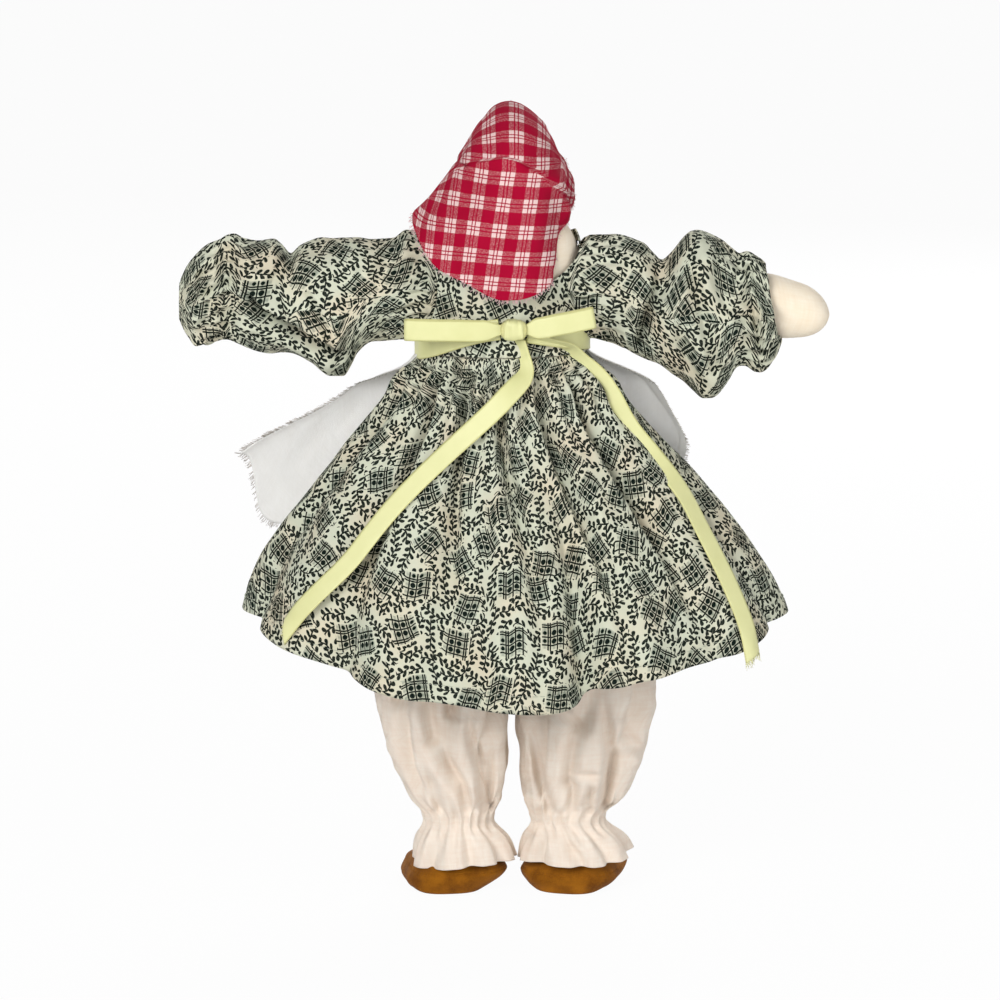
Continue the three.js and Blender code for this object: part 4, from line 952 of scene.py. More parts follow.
def makeSleeve(name, side):
    # tube between a top and a bottom outline, gathered at both ends, creased where the photograph shows it
    s = sleeves[name]
    seed = s["seed"]
    angle, share = ringAngles(240), np.linspace(0, 1, 130)[:, None]
    cuff = s["slant"] * (0.5 - 0.5 * np.sin(angle))  # the cuff is longer below
    reach = mixed(sleeveStart(angle), s["length"] + cuff, share)
    (top,), (bottom,), (deep,) = (curves(s[line], reach) for line in ("top", "bottom", "deep"))
    lap = angle / turn
    fromHead, fromGather = np.maximum(reach - 1, 0), reach - s["gather"] - cuff
    puff = 1.4 * np.exp(-fromHead / 14) * np.cos(26 * angle + 2 * ripple(lap * 9, reach / 9, seed, 9))
    pull = 2.2 * np.exp(-np.abs(fromGather) / 9) * np.cos(22 * angle + 2.4 * ripple(lap * 8, reach / 11, seed + 1, 8))
    flute = 2.2 * ease(fromGather, 2, 10) * np.cos(9 * angle + 1.8 * ripple(lap * 5, reach / 12, seed + 2, 5))
    loose = ease(fromHead, 4, 16) * (1 - ease(fromGather, -10, -2))
    wander = 2.2 * loose * ripple(lap * 9 + reach / 40, reach / 15, seed + 3, 9)
    wander = wander + 0.9 * ripple(lap * 22, reach / 6, seed + 4, 22)
    slack = (puff + pull + flute + wander) * ease(share, 0, 0.03)
    middle, high = (top + bottom) / 2, (top - bottom) / 2
    slack = slack * ease(np.minimum(high, deep), 4, 17)
    y = -(deep + slack) * np.cos(angle)
    z = middle + (high + 0.6 * slack) * np.sin(angle)
    back = ease(y, 0, 10)
    for route, width, depth in s["creases"]:
        y = y - depth * back * creaseAt(reach, z, route, width)
    for route, width, height in s["rolls"]:
        y = y + height * back * creaseAt(reach, z, route, width)
    if "pocket" in s:  # cloth folded over itself: a sharp lip, and a hollow that runs out below it
        line, depth, lip = s["pocket"]
        first, last = line[0][0], line[-1][0]
        over = z - np.interp(reach, *np.array(line).T)
        above, below = np.maximum(over, 0), np.minimum(over, 0)
        along = ease(reach, first - 2, first + 6) * (1 - ease(reach, last - 12, last)) * back
        upper = ease(over, -1.3, 0.7)
        z = z - 3.4 * along * upper * np.exp(-above / 4)  # the upper layer hangs over the hollow
        y = y + along * (lip * upper * np.exp(-above / 8) - depth * (1 - upper) * np.exp(below / 5.5))
    overArm = np.clip((z - arms["pivotZ"] + arms["slope"] * reach + 1.5) / 16.5, -1, 1)
    clearOfArm = atLeast(y, 14.2 * np.sqrt(1 - overArm**2) + 0.7, 1.2)
    y = mixed(y, clearOfArm, ease(back, 0.2, 0.6))
    grid = joined(side * (arms["pivotX"] + reach), y, z)
    # the print runs evenly over the small puckers, and gathered cloth shows a part of its width
    plan = clothPlan(grid, True)
    total = plan[:, -1, 0] - plan[:, 0, 0]
    part = plan[:, :, 0] / total[:, None]
    plan[:, :, 0] = mixed(part, part.mean(axis=0), 0.7) * (0.92 * mixed(total, total.max(), 0.4))[:, None]
    plan[:, :, 1] = 0.84 * lengths(grid, 0).mean(axis=1)[:, None] + 300 * (side > 0)
    mesh = gridMesh(f"sleeve_{name}_cloth", grid, plan, wrap=True)
    cloth = piece(mesh, calico, None, [f"sleeve_{name}"], clothThick)
    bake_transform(cloth)
    flat = (0.185, round(s["length"] * 1.25 * mm, 3))
    ring = ringAngles(120, 0)
    crimp = np.cos(30 * ring)
    at = np.linspace(-2, 2, 7)[:, None] + s["gather"] + 0.4 * crimp
    level = arms["pivotZ"] - arms["slope"] * s["gather"] - 2.9
    band = joined(side * (arms["pivotX"] + at), -(13.7 + 0.35 * crimp) * np.cos(ring),
                  level + (15.6 + 0.35 * crimp) * np.sin(ring))
    elasticRing(f"wrist_elastic_{name}", f"arm_{name}", band, 0.5)


for name, side in sides:
    makeSleeve(name, side)
print("sleeves set in")


# edge: angle round the head, tilt where the cloth leaves it, drop and reach of the flap's edge; outline: height, then
# reach to the doll's left and right; fold: the line where the cap overhangs the flap; creases: depth, route, width
hood = dict(
    edge=[(-180, 38, 0, 29), (-150, 45, 0, 29), (-128, 80, 0, 29), (-110, 90, 11, 27), (-90, 90, 17, 29.5),
          (-75, 90, 23, 28.5), (-60, 90, 31, 28.5), (-45, 90, 42, 31), (-30, 90, 53, 35.5), (-15, 90, 59, 37.5),
          (0, 90, 61.5, 38), (14, 90, 61, 38.7), (30, 90, 55, 42), (45, 90, 46, 47), (60, 90, 34, 51), (74, 90, 25, 51),
          (90, 90, 15, 36), (110, 90, 11, 27), (128, 80, 0, 29), (150, 45, 0, 29), (180, 38, 0, 29)],
    gap=0.7, ease=1.2, lean=0.16, slope=0.063, columns=240, rows=205,
    outline=[(286, 10, 8), (293, 17.2, 11.5), (299.5, 27.3, 14.5), (306.5, 37.4, 18), (313, 42.5, 19), (318, 45, 19.6),
             (322, 47, 20.8), (326.6, 48.6, 24.3), (330, 47, 26.9), (336.2, 40.8, 28.4), (345.5, 33.6, 26.9),
             (355.7, 26.2, 20.6), (361, 23.2, 18.2), (365.5, 20, 16.8), (374, 14, 14), (380, 9.6, 9.6), (387, 5, 5)],
    fold=[(-34.8, 334), (-26, 340.7), (-15.8, 351), (-6, 357), (-1, 358), (11.2, 355), (24.7, 349), (32, 343)],
    creases=[(-1.6, [(-28, 346), (-34, 330), (-33, 318)], 1.8), (1.8, [(-24, 346), (-30, 330), (-29, 318)], 2.4),
             (1.5, [(2, 345), (12, 325), (10, 305)], 7.0)],
)


def toOutline(grid):  # brings the width at each height to the hood's outline
    heights = np.arange(286.0, 387.0)
    level = np.clip(np.round(grid[:, :, 2] - heights[0]), 0, 100).astype(int)
    off = grid[:, :, 0] - headSpot[0]
    seen = grid[:, :, 1] > headSpot[1]
    stretch = np.ones_like(off)
    for sign, aim in zip((1, -1), curves(hood["outline"], heights)):
        widest = np.full(len(heights), 0.5)
        np.maximum.at(widest, level[seen], (sign * off)[seen])
        ratio = np.clip(smoothed(aim / widest, 3), 0.75, 1.7)
        ratio[88:] = ratio[88]  # the crown keeps the width it has at 374
        ratio = mixed(1, ratio, ease(heights, 297, 306))
        stretch = np.where(sign * off > 0, np.interp(grid[:, :, 2], heights, ratio), stretch)
    grid[:, :, 0] = headSpot[0] + off * mixed(1, stretch, ease(grid[:, :, 1], -28, -12))


def makeKerchief():
    # hood over the head, then a flap that hangs from its widest line
    around = ringAngles(hood["columns"])
    down = np.linspace(0.015, 1, hood["rows"])[:, None]
    domeTilt, drop, edgeReach = curves(hood["edge"], np.degrees(around))
    tilt, fall = np.radians(np.minimum(domeTilt, 90)), np.maximum(drop, 0)
    domeShare = 29 * tilt / (29 * tilt + fall)
    onDome = np.minimum(down / domeShare, 1) * tilt
    hang = np.clip((down - domeShare) / np.maximum(1 - domeShare, 1e-6), 0, 1) * (fall > 0)
    direction = headDirection(around, onDome)
    slack = hood["ease"] * np.sin(onDome) ** 2
    dome = headSpot + direction * (headReach(direction) + hood["gap"] + slack)[:, :, None]
    level = headDirection(around, np.pi / 2 + 0 * onDome)
    reach = mixed(headReach(level) + hood["gap"] + hood["ease"], edgeReach, hang)
    flap = headSpot + level * reach[:, :, None]
    flap[:, :, 2] = headSpot[2] - fall * hang
    grid = np.where((down > domeShare)[:, :, None], flap, dome)
    toOutline(grid)
    crown = ease(grid[:, :, 2], 362, 382)
    grid[:, :, 2] += crown * (0.24 * (grid[:, :, 0] - headSpot[0] - 4) - 0.6)  # the crown leans to the left
    x, z = grid[:, :, 0], grid[:, :, 2]
    behind = ease(np.cos(around), 0.1, 0.4)
    normals = facing(grid, True, headSpot)
    move = 0.6 + 0.7 * ripple(around / turn * 18, down * 9, 81, 18) * ease(down, 0.15, 0.45) - 0.6 * ease(z, 366, 380)
    above = z - np.interp(x, *np.array(hood["fold"]).T)
    overhang = 3.0 * behind * ease(above, -0.4, 0.4) * ease(np.cos(around), 0.3, 0.75)
    move = move + overhang * np.exp(-np.maximum(above, 0) / 9)
    for depth, route, width in hood["creases"]:
        move = move + depth * creaseAt(x, z, route, width) * behind
    grid = grid + normals * move[:, :, None]
    # the plaid runs straight down the flap, and over the head towards the ties
    ring = wrapped(grid)
    hanging, tilted = wrapped(fall * hang), wrapped(onDome)
    roll = ring[:, :, 0] - headSpot[0]
    span = np.where(roll > 0, 50, 43)
    run = span * np.arcsin(np.clip(roll / span, -0.99, 0.99))
    lid = ease(tilted, math.radians(50), math.radians(90)) * ease(wrapped(np.cos(around)), 0.0, 0.5)
    overTop = np.arctan2(ring[:, :, 1] - headSpot[1] + 12, ring[:, :, 2] - headSpot[2] + 17)
    u = 25 * np.arcsin(np.clip(roll / 27, -1, 1)) + np.sign(roll) * hanging
    u = mixed(u, run - hood["lean"] * hanging, lid)
    v = mixed(51 * overTop - 12.7, 31 * tilted + 1.05 * hanging, lid)
    under = ease(wrapped(above), -0.4, 0.4)  # the cloth taken up in the fold shifts the stripes
    plan = np.stack([u + 3.5 * under, v + hood["slope"] * u - 5.0 * under], axis=-1)
    mesh = gridMesh("kerchief_cloth", grid, plan, wrap=True, inside=headSpot)
    cloth = piece(mesh, plaid, None, ["kerchief"], clothThick)
    rng = np.random.default_rng(82)
    edge = grid[-1] + (np.roll(grid[-1], -1, 0) - grid[-1]) * rng.uniform(0, 1, (len(grid[-1]), 1))
    root, away, lift = (np.repeat(line, 3, axis=0) for line in (edge, unit(grid[-1] - grid[-5]), normals[-1]))
    fray = strands(rng, root - lift * 0.3, away, (0.5, 1.7), 0.45, (-0.3, 0.4, 1.0))
    frayed = piece(threads("kerchief_fray", lift, fray, 0.15), plaidThread)
    for made in (cloth, frayed):
        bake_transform(made)


# strand and end: points from the head and from the knot, for the doll's left
ties = dict(
    knot=headSpot + np.array([0, -38.5, -17]), radius=4.6, points=40, strandColumns=28, endColumns=13,
    strand=[(23.8, -8, -7.5), (23.4, -14, -11.5), (22, -22, -15), (11, -34, -17), (4.4, -37.7, -17)],
    end=[(5, -3.5, -9), (8, -5.5, -15), (11, -9, -27)], endStart=(0.8, -0.3, -1.0), endFacing=(0.25, -1, 0.3),
)


def tubeGrid(path, radius, columns, reference):  # round tube carried along a path
    _, first, second = frameAlong(path, reference, 0)
    angle = ringAngles(columns, 0)[:, :, None]
    ring = first[:, None] * np.cos(angle) + second[:, None] * np.sin(angle)
    return path[:, None] + ring * radius[:, :, None]


def throughPoints(points, count):  # smooth path through a few points
    points = np.asarray(points, float)
    run = runAlong(points)
    return np.stack(curves(np.column_stack([run, points]), np.linspace(0, run[-1], count)), axis=-1)


def makeTies():
    knot, count = ties["knot"], ties["points"]
    ball = ballGrid((ties["radius"],) * 3, 40, 56)
    lap, x = ringAngles(56, 0), ball[:, :, 0]
    swell = 1 + 0.09 * np.cos(2 * lap + x * 0.5) + 0.05 * np.cos(5 * lap - x)
    ball = knot + ball * swell[:, :, None]
    closedPiece("kerchief_knot_cloth", ball, plaid, "head", ["kerchief_knot"])
    share = np.linspace(0, 1, count)[:, None]
    for name, side in sides:
        mirror = np.array([side, 1, 1])
        path = throughPoints(headSpot + np.array(ties["strand"]) * mirror, count)
        angle = ringAngles(ties["strandColumns"], 0)
        width = 2.2 + 0.3 * np.cos(3 * angle + 6 * share) + 0.15 * np.cos(7 * angle)
        width = width * (1 + 0.25 * (1 - ease(share, 0, 0.4)))
        strand = tubeGrid(path, width, ties["strandColumns"], np.array([0, 0, 1.0]))
        closedPiece(f"kerchief_strand_{name}", strand, plaid, "head")
        start = unit(np.array(ties["endStart"])) * 4.2
        path = knot + throughPoints(np.array([start, *ties["end"]]) * mirror, count)
        normals = np.tile(np.array(ties["endFacing"]) * mirror, (count, 1))
        spread = 1.05 * (3.0 + 1.6 * ease(share, 0, 0.6))
        grid = ribbonGrid(path, normals, 1.0, ties["endColumns"])
        grid = path[:, None] + (grid - path[:, None]) * spread[:, :, None]
        fold = 0.9 * np.cos(np.linspace(-np.pi * 1.5, np.pi * 1.5, ties["endColumns"]))[None, :]
        fold = fold * (1 - 0.6 * ease(share, 0.1, 0.9))
        grid = grid + normals[:, None] * fold[:, :, None]
        inside = path[:, None] - normals[:, None] * 20
        mesh = gridMesh(f"kerchief_end_{name}_cloth", grid, clothPlan(grid, False), inside=inside)
        end = piece(mesh, plaid, "head", [f"kerchief_end_{name}"], clothThick)


makeKerchief()
makeTies()
print("kerchief tied")


apron = dict(
    length=95, topHalf=82, hemHalf=80, rightHemHalf=60, wrap=20, cornerRise=37, wing=40, rightLift=13, forward=16,
    leftDrop=10, leftSag=8, lean=4, thickness=0.45,
)


def bandMiddle(angle):  # height of the ribbon round the waist, lower on its left
    slope = np.where(np.cos(angle) > 0, np.abs(np.sin(angle)) ** 1.2, 1)
    return body["band"] - (body["bandDrop"] + 5 * ease(np.sin(angle), 0, 0.9)) * slope


def apronPoint(across, down, out):
    # hangs from the ribbon over the front of the skirt; its left corner stands out and its right side bulges
    s = apron
    held = 10 / s["length"]
    outer = np.abs(across)
    right = mixed(s["topHalf"], s["rightHemHalf"], ease(down, 0.5, 0.9))
    half = np.where(across > 0, mixed(s["topHalf"], s["hemHalf"], down), right)
    half = half + s["wrap"] * (1 - ease(down, 0.06, 0.2)) * ease(outer, 0.7, 1)
    front = across * np.radians(half)
    rise = s["cornerRise"] * ease(across, 0.76, 1) * ease(down, held, 1)
    sag = s["leftSag"] * ease(across, 0.5, 1) * (4 * down * (1 - down)) ** 1.5
    level = body["band"] - body["bandDrop"]
    top = mixed(bandMiddle(np.pi - front), level, ease(down, 0, 0.3)) + 4.6
    z = top - down * (s["length"] + s["leftDrop"] * ease(across, 0.3, 0.75)) + rise - sag
    fall = np.maximum(0, (body["waist"] - z) / skirtDrop(np.pi - front))
    out = out + 3.9 * bell(fall, 0.105, 0.085) * ease(down, 0.9 * held, 2 * held)
    loose = ease(down, held, 3 * held)
    wing = s["wing"] * loose * down * np.clip((across - 0.35) / 0.65, 0, 1) ** 2.6
    lift = s["rightLift"] * loose * ease(-across, 0.4, 0.9) * np.sin(np.pi * np.clip(down / 0.72, 0, 1))
    point = dressAt(z, np.pi - front, out + down + wing + lift)
    point[..., 1] -= s["forward"] * loose * ease(outer, 0.5, 1) * np.where(across > 0, 1.25, 0.3)
    point[..., 1] -= s["lean"] * loose * np.maximum(across - 0.7, 0) ** 2 / 0.09
    return point


def makeApron():
    across, down = np.linspace(-1, 1, 220)[None, :], np.linspace(0, 1, 90)[:, None]
    gather = 0.9 * np.exp(-down / 0.25) * (1 + np.cos(46 * across + 2 * ripple(across * 9 + 20, down * 4, 91)))
    gather = gather * ease(down, 0.06, 0.14)
    drape = 1.6 * ease(down, 0.1, 0.5) * (1 + np.cos(15 * across + 1.5 * ripple(across * 5 + 20, down * 2, 92)))
    rumple = 1.1 * ease(np.abs(across), 0.6, 0.9) * (1 + ripple(across * 16 + 30, down * 6, 93)) * ease(down, 0.1, 0.3)
    grid = apronPoint(across, down, 0.9 + gather + drape + rumple)
    inside = grid * np.array([0.2, 0.2, 1.0])
    plan = clothPlan(grid, False)
    mesh = gridMesh("apron_cloth", grid, plan, inside=inside)
    cloth = piece(mesh, apronCloth, "torso", ["apron_panel"], apron["thickness"])
    # frayed threads at the left, the right and the hem
    normals = facing(grid, False, inside)
    rng = np.random.default_rng(94)
    lifts, paths = [], []
    for edge, inner, out in ((grid[12:, -1], grid[12:, -3], normals[12:, -1]),
                             (grid[12:, 0], grid[12:, 2], normals[12:, 0]), (grid[-1], grid[-3], normals[-1])):
        count = int(runAlong(edge)[-1] / 0.42)
        spots = np.sort(rng.uniform(0, len(edge) - 1.001, count))
        root, away, lift = (sampled(spots, np.arange(len(edge)), line) for line in (edge, edge - inner, out))
        paths.append(strands(rng, root - lift * 0.22, unit(away), (1.9, 2.9), 0.13, (-0.12, 0.35, 0.7, 1.0)))
        lifts.append(lift)
    fringe = threads("apron_fringe", np.vstack(lifts), np.vstack(paths), 0.12)
    fringe = piece(fringe, apronThread, "torso")


# each loop has its length and its tilt in degrees; straight is the share of a loop's ribbon that runs out
bow = dict(
    knot=np.array([-5.3, 32.1, 277.0]), half=(6.3, 4.2, 5.1), loops=dict(left=(47, 0), right=(34, 10)),
    loopHalf=2.5, straight=0.46, points=140, bandOut=2.1, bandStart=1.5, bandEnd=-12.1, bandPoints=260,
)


def makeWaistband():
    wide, deep = (half + bow["bandOut"] for half in body["bodiceHalf"])
    first, last = math.asin(bow["bandStart"] / wide), turn + math.asin(bow["bandEnd"] / wide)
    angle = np.linspace(first, last, bow["bandPoints"])
    path = joined(wide * np.sin(angle), deep * np.cos(angle), bandMiddle(angle))
    normals = unit(joined(deep * np.sin(angle), wide * np.cos(angle), 0.0))
    path = path + normals * (0.35 * ripple(angle * 5, 0 * angle, 101))[:, None]
    grid = ribbonGrid(path, normals, tails["width"], tails["columns"], 0.12)
    run = runAlong(path)[-1]
    band = ribbonPiece("ribbon_waistband", grid, run, path[:, None] - normals[:, None] * 20)


def makeLoop(name, side):
    # ribbon that runs out behind, turns round and comes back in front
    length, tilt = bow["loops"][name]
    half, straight = bow["loopHalf"], bow["straight"]
    share = np.linspace(0, 1, bow["points"])
    outward, inward = share < straight, share > 1 - straight
    out = np.where(outward, share / straight, np.where(inward, (1 - share) / straight, 1.0))
    bend = np.clip((share - straight) / (1 - 2 * straight), 0, 1) * np.pi
    x = out * (length - half) + half * np.sin(bend) * ~(outward | inward)
    depth = np.where(outward, -1, np.where(inward, 1, -np.cos(bend))) * half * (0.25 + 0.75 * ease(out, 0, 0.5))
    sag = -0.6 * np.sin(np.pi * out) + 0.35 * ripple(out * 4, 2, 102)
    path = joined(x, depth, sag)
    along = np.gradient(path, axis=0)
    normals = unit(joined(-along[:, 1], along[:, 0], 0.0))
    grid = ribbonGrid(path, normals, tails["width"], tails["columns"], 0.1)
    x, y, z = np.moveaxis(grid, -1, 0)
    z = z * (0.45 + 0.55 * ease(out, 0, 0.22))[:, None]  # drawn together at the knot
    cos, sin = math.cos(math.radians(tilt)), math.sin(math.radians(tilt))
    grid = bow["knot"] + joined(side * (x * cos - z * sin + bow["half"][0] - 1.5), y, x * sin + z * cos)
    run = runAlong(path)[-1]
    loop = ribbonPiece(f"bow_loop_{name}", grid, run, bow["knot"] + np.array([side * length / 2, 0, 0]))


def makeKnot():
    x, y, z = np.moveaxis(ballGrid((1, 1, 1), 60, 90), -1, 0)
    square = lambda c, power: np.sign(c) * np.abs(c) ** power
    fold = 0.06 * np.cos(13 * x + 3 * x * z) + 0.07 * np.cos(4 * x - 3 * z + 1)
    wide, deep, high = bow["half"]
    grid = bow["knot"] + joined(wide * square(x, 0.7) * (1 - 0.16 * z**2), deep * square(y, 0.6) * (1 + fold),
                                high * square(z, 0.65) * (1 + 0.4 * fold))
    plan = joined(wrapped(grid[:, :, 0]) - bow["knot"][0], np.linspace(0, 34, 91)[None, :])
    mesh = gridMesh("bow_knot_cloth", grid, plan, wrap=True, ends=True)
    piece(mesh, satin, "torso", ["bow_knot"])


makeApron()
makeWaistband()
for name, side in sides:
    makeLoop(name, side)
makeKnot()
print("apron and bow tied")


# rows: height, middle, half width, half depth; creases: route over width and height, width, depth
bloomers = dict(
    left=dict(
        seed=111,
        rows=[(15, 18.5, 25.5, 26), (25, 19.8, 22.6, 22.8), (32, 21.2, 17.2, 17), (36, 21.5, 16.8, 16.8),
              (39, 21.7, 18.6, 18.4), (44, 22.6, 22.5, 21.8), (54, 24.6, 25.5, 25), (74, 27.5, 30, 28),
              (105, 29.5, 32, 29), (159.6, 27.5, 29.1, 28), (196, 25.5, 24, 26)],
        creases=[([(14, 102), (16, 83), (10.5, 62), (8.6, 42)], 2.4, 6.0),
                 ([(29.5, 77), (25.7, 67), (19, 55), (17, 42)], 2.4, 5.0), ([(38, 108), (35, 94), (33, 79)], 4.0, 7.0),
                 ([(6.7, 82), (5.8, 58), (6.7, 41)], 2.2, 5.0), ([(58, 90), (50, 96), (44, 104)], 3.0, 5.0),
                 ([(41, 70), (34, 56), (30, 42)], 2.6, 3.5), ([(24, 104), (25, 90)], 3.0, 4.0)]),
    right=dict(
        seed=116,
        rows=[(15, -35.5, 28.5, 26), (25, -34, 24.6, 22.8), (32, -32.2, 18.2, 17), (36, -31.5, 17.8, 16.8),
              (39, -32.2, 19.8, 18.4), (44, -34.2, 24.5, 21.8), (54, -36.6, 27.5, 25), (74, -39.5, 31.5, 28),
              (105, -40.5, 33.5, 29), (159.6, -38.5, 29.1, 28), (196, -36.5, 24, 26)],
        creases=[([(-47, 110), (-50.3, 83), (-52.2, 68), (-49, 42)], 2.8, 7.0),
                 ([(-12.2, 96), (-15.1, 73), (-18, 58), (-23, 41)], 2.4, 6.0),
                 ([(-29.4, 62), (-34, 54), (-33, 41)], 2.2, 5.0), ([(-27, 62), (-46, 59.5)], 2.0, 2.5),
                 ([(-56, 84), (-63, 74), (-68, 68)], 3.0, 3.5), ([(-25, 110), (-28, 96), (-36, 84)], 3.0, 3.0),
                 ([(-43, 58), (-41, 41)], 2.2, 4.5)]),
)
legs = dict(hip=29, ankle=27, shift=-5.5, hipZ=190, hipRadius=15, ankleRadius=14, bottom=19.6, elasticRadius=14.6)


def legMiddle(side, z):  # x of the leg's own middle line
    return legs["shift"] + side * mixed(legs["ankle"], legs["hip"], ease(z, 40, legs["hipZ"]))


def makeBloomerLeg(name, side):
    # tube of cloth round the leg: full above, gathered at the ankle, with a fluted ruffle below
    s = bloomers[name]
    seed = s["seed"]
    angle = ringAngles(240)
    z = np.concatenate([np.linspace(15, 110, 135), np.linspace(112, 196, 35)])[:, None]
    centre, wide, deep = curves(s["rows"], z)
    lap = angle / turn
    above = ease(z, 40, 60)
    tuck = 1.9 * np.exp(-np.abs(z - 36) / 8) * np.cos(21 * angle + 2.2 * ripple(lap * 8, z / 12, seed, 8))
    ruffle = ease(-z, -34, -22) * valley(9 * angle + 2.2 * ripple(lap * 6, z / 16, seed + 1, 6), 2.2)
    ruffle = 1.2 * ease(-z, -32, -18) - 4.5 * ruffle
    folds = (1 - 0.5 * ease(z, 110, 196)) * valley(8 * angle + 2.6 * ripple(lap * 5, z / 34, seed + 2, 5), 2.4)
    folds = above * (1.8 - 5.5 * folds)
    rumple = 1.4 * ripple(lap * 15 + z / 60, z / 13, seed + 3, 15) + 0.5 * ripple(lap * 36, z / 5, seed + 4, 36)
    slack = tuck + ruffle + folds + above * rumple - 0.8
    x = centre + (wide + slack) * np.sin(angle)
    y = (deep + slack) * np.cos(angle)
    back = ease(y, 0, 8)
    for route, width, depth in s["creases"]:
        y = y - 1.25 * depth * back * creaseAt(x, z, route, width, 0.55)
    legBack = np.sqrt(np.maximum(15.4**2 - (x - legMiddle(side, z)) ** 2, 0))
    y = mixed(y, atLeast(y, legBack + 0.4, 2.0), ease(back, 0.2, 0.6))
    hem = 2.2 * np.sin(angle + seed) + 1.6 * np.sin(2 * angle + 2 * seed)  # uneven hem
    grid = joined(x, y, z + hem * ease(-z, -30, -15))
    plan = clothPlan(grid, True)
    plan[:, :, 1] = z * 1.05
    mesh = gridMesh(f"bloomer_leg_{name}_cloth", grid, plan, wrap=True)
    cloth = piece(mesh, bloomerCloth, f"leg_{name}", [f"bloomer_leg_{name}"], clothThick)
    ring = ringAngles(120)
    crimp = 0.3 * np.cos(30 * ring)
    radius = legs["elasticRadius"] + crimp
    band = joined(legMiddle(side, 36) + radius * np.sin(ring), radius * np.cos(ring),
                  np.linspace(34, 38, 7)[:, None] + crimp)
    elasticRing(f"ankle_elastic_{name}", f"leg_{name}", band, 0.5)


def makeLeg(name, side):
    angle = ringAngles(60, 0)
    lift = np.radians(np.linspace(80, 8, 14))
    hip, shaft = legs["hipRadius"], np.linspace(legs["hipRadius"], legs["ankleRadius"], 60)
    z = np.concatenate([legs["hipZ"] + hip * np.sin(lift), np.linspace(legs["hipZ"], legs["bottom"], 60)])[:, None]
    deep = np.concatenate([hip * np.cos(lift), shaft])[:, None]
    wide = np.concatenate([hip * np.sqrt(np.cos(lift)), shaft])[:, None]
    pucker = -0.3 - 0.3 * bell(np.sin(angle), 0, 0.12) * (1 + np.sin(z))
    pucker = pucker + 0.25 * ripple(angle / turn * 9, z / 9, 131 + side, 9)
    grid = joined(legMiddle(side, z) + (wide + pucker) * np.sin(angle), (deep + pucker) * np.cos(angle), z)
    closedPiece(f"leg_{name}_stuffed", grid, muslin, f"leg_{name}", [f"leg_{name}"])


# rows: height, share drawn in to the ankle, inset from the widest line; splay and roll turn each foot a little
feet = dict(
    toe=55, heel=20, half=24, ankle=15, seam=9.4, left=(9, 6), right=(15, 1),
    rows=[(0.0, 0.30, 12), (0.02, 0.12, 10), (0.5, 0.03, 7.5), (1.8, 0, 4.8), (3.6, 0, 2.6), (5.6, 0, 1.0),
          (7.6, 0, 0.2), (9.2, 0.03, 0), (10.4, 0.1, 0.4), (11.6, 0.22, 0.6), (13, 0.42, 0.5), (14.6, 0.66, 0.3),
          (16, 0.83, 0), (17.4, 0.94, 0), (19, 1, 0)],
)


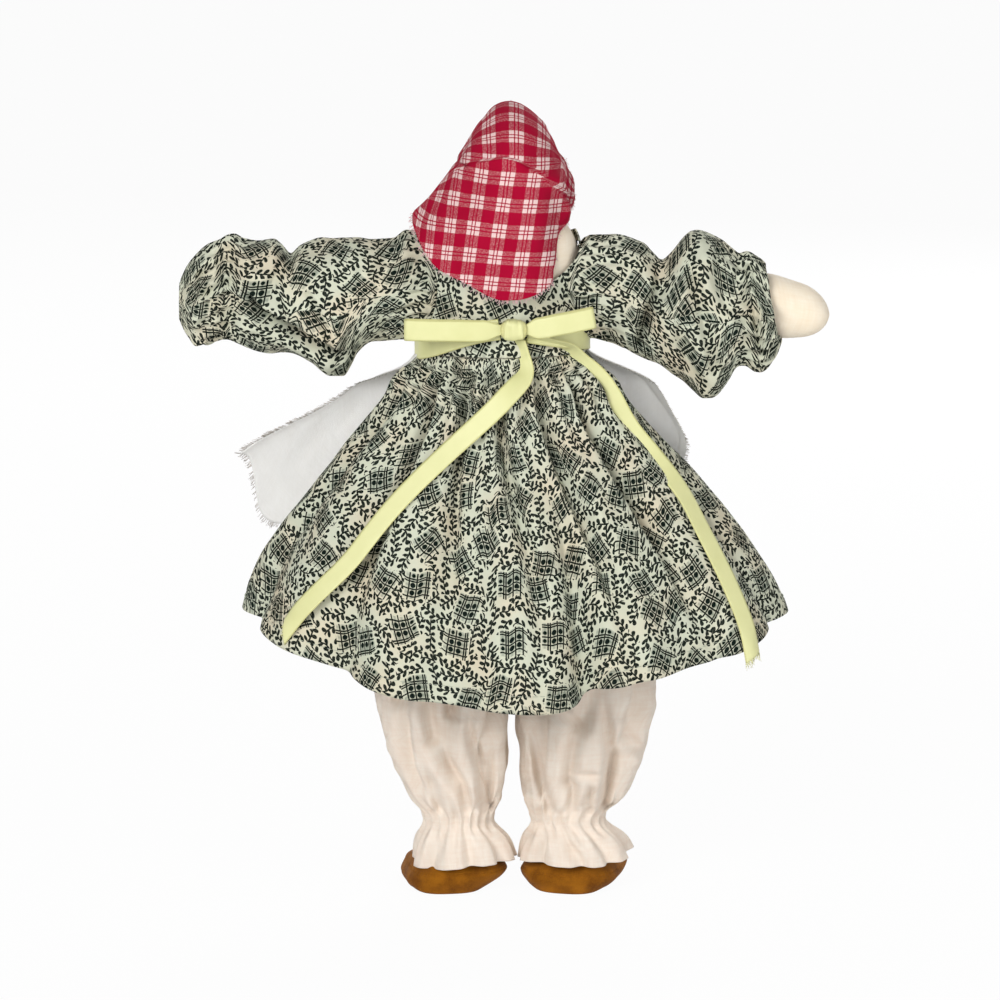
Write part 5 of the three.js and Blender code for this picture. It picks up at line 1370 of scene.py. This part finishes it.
def makeFoot(name, side):
    # padded foot with three webbed toes: rounded under like a boat, widest at its seam, drawn in to the ankle above
    splay, roll = feet[name]
    angle = ringAngles(200, 0)  # 0 at the toe
    last = len(feet["rows"]) - 1
    table = np.column_stack([np.arange(last + 1), feet["rows"]])
    z, drawn, inset = (column[:, None] for column in curves(table, np.linspace(0, last, 76)))
    length = np.where(np.cos(angle) > 0, feet["toe"], feet["heel"])
    oval = ((np.abs(np.sin(angle)) / feet["half"]) ** 2.5 + (np.abs(np.cos(angle)) / length) ** 2.5) ** -0.4
    sweep = np.abs(np.arctan2(np.sin(angle), np.cos(angle)))
    web = (0.5 - 0.5 * np.cos(10 * sweep)) * (1 - ease(sweep, 0.6, 0.8))
    lap = angle / turn
    pucker = 0.5 * bell(z, feet["seam"], 0.6) * (1 + 0.5 * np.sin(angle * 60))
    pucker = pucker + 0.6 * ripple(lap * 12, z / 5, 141 + side, 12) * ease(z, 1, 5) * (1 - drawn)
    inset = inset * mixed(1, 0.1, ease(-np.cos(angle), 0.3, 1))
    radius = mixed(oval - 4 * web - inset - pucker, feet["ankle"], drawn)
    uneven = 1.2 * ripple(lap * 6, z / 9, 151 + side, 6) * ease(z, 4, 9) - 1.6 * web * ease(z, 6, 10)
    turned = angle + math.radians(splay)
    ankle = legMiddle(side, 0)
    x = ankle + side * (radius * np.sin(turned) + roll * (1 - ease(z, 0, 9)))
    grid = joined(x, -radius * np.cos(turned), z + uneven * (1 - drawn))
    plan = wrapped(np.stack([grid[:, :, 0], grid[:, :, 1] + z], axis=-1))
    inside = np.array([ankle, -15, 8.0])
    mesh = gridMesh(f"foot_{name}_stuffed", grid, plan, wrap=True, ends=True, inside=inside)
    piece(mesh, mustard, f"leg_{name}", [f"foot_{name}"])


# half sizes at the waist and at the legs, heights of both, half sizes of the elastic
seat = dict(top=(40.1, 28.1), bottom=(57, 29), heights=(253, 203), elastic=(38.9, 26.9), elasticHeights=(248, 252))


def makeSeat():
    angle, share = ringAngles(240), np.linspace(0, 1, 50)[:, None]
    spread = ease(share, 0.1, 0.9)
    wide, deep = (mixed(top, low, spread) for top, low in zip(seat["top"], seat["bottom"]))
    lap = angle / turn
    gather = 0.45 * np.exp(-share / 0.3) * np.cos(36 * angle + 2 * ripple(lap * 12, share * 3, 121, 12))
    slack = gather * ease(share, 0.02, 0.1) + 0.7 * ripple(lap * 14, share * 4, 122, 14) * spread
    boxed = lambda c: np.sign(c) * np.abs(c) ** mixed(1, 0.5, spread)
    x = legs["shift"] * spread + (wide + slack) * boxed(np.sin(angle))
    grid = joined(x, (deep + slack) * boxed(np.cos(angle)), mixed(*seat["heights"], share))
    mesh = gridMesh("bloomers_seat_cloth", grid, clothPlan(grid, True), wrap=True)
    cloth = piece(mesh, bloomerCloth, "torso", ["bloomers_seat"], clothThick)
    ring = ringAngles(200)
    crimp = 0.3 * np.cos(48 * ring)
    wide, deep = (half + crimp for half in seat["elastic"])
    band = joined(wide * np.sin(ring), deep * np.cos(ring), np.linspace(*seat["elasticHeights"], 7)[:, None] + crimp)
    elasticRing("bloomers_waist_elastic", "torso", band, 0.4)


for name, side in sides:
    makeLeg(name, side)
    makeBloomerLeg(name, side)
    makeFoot(name, side)
makeSeat()
print("bloomers and feet made")

{"cad": [list(corner) for corner in cadBox], "visual": [list(corner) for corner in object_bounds()]}
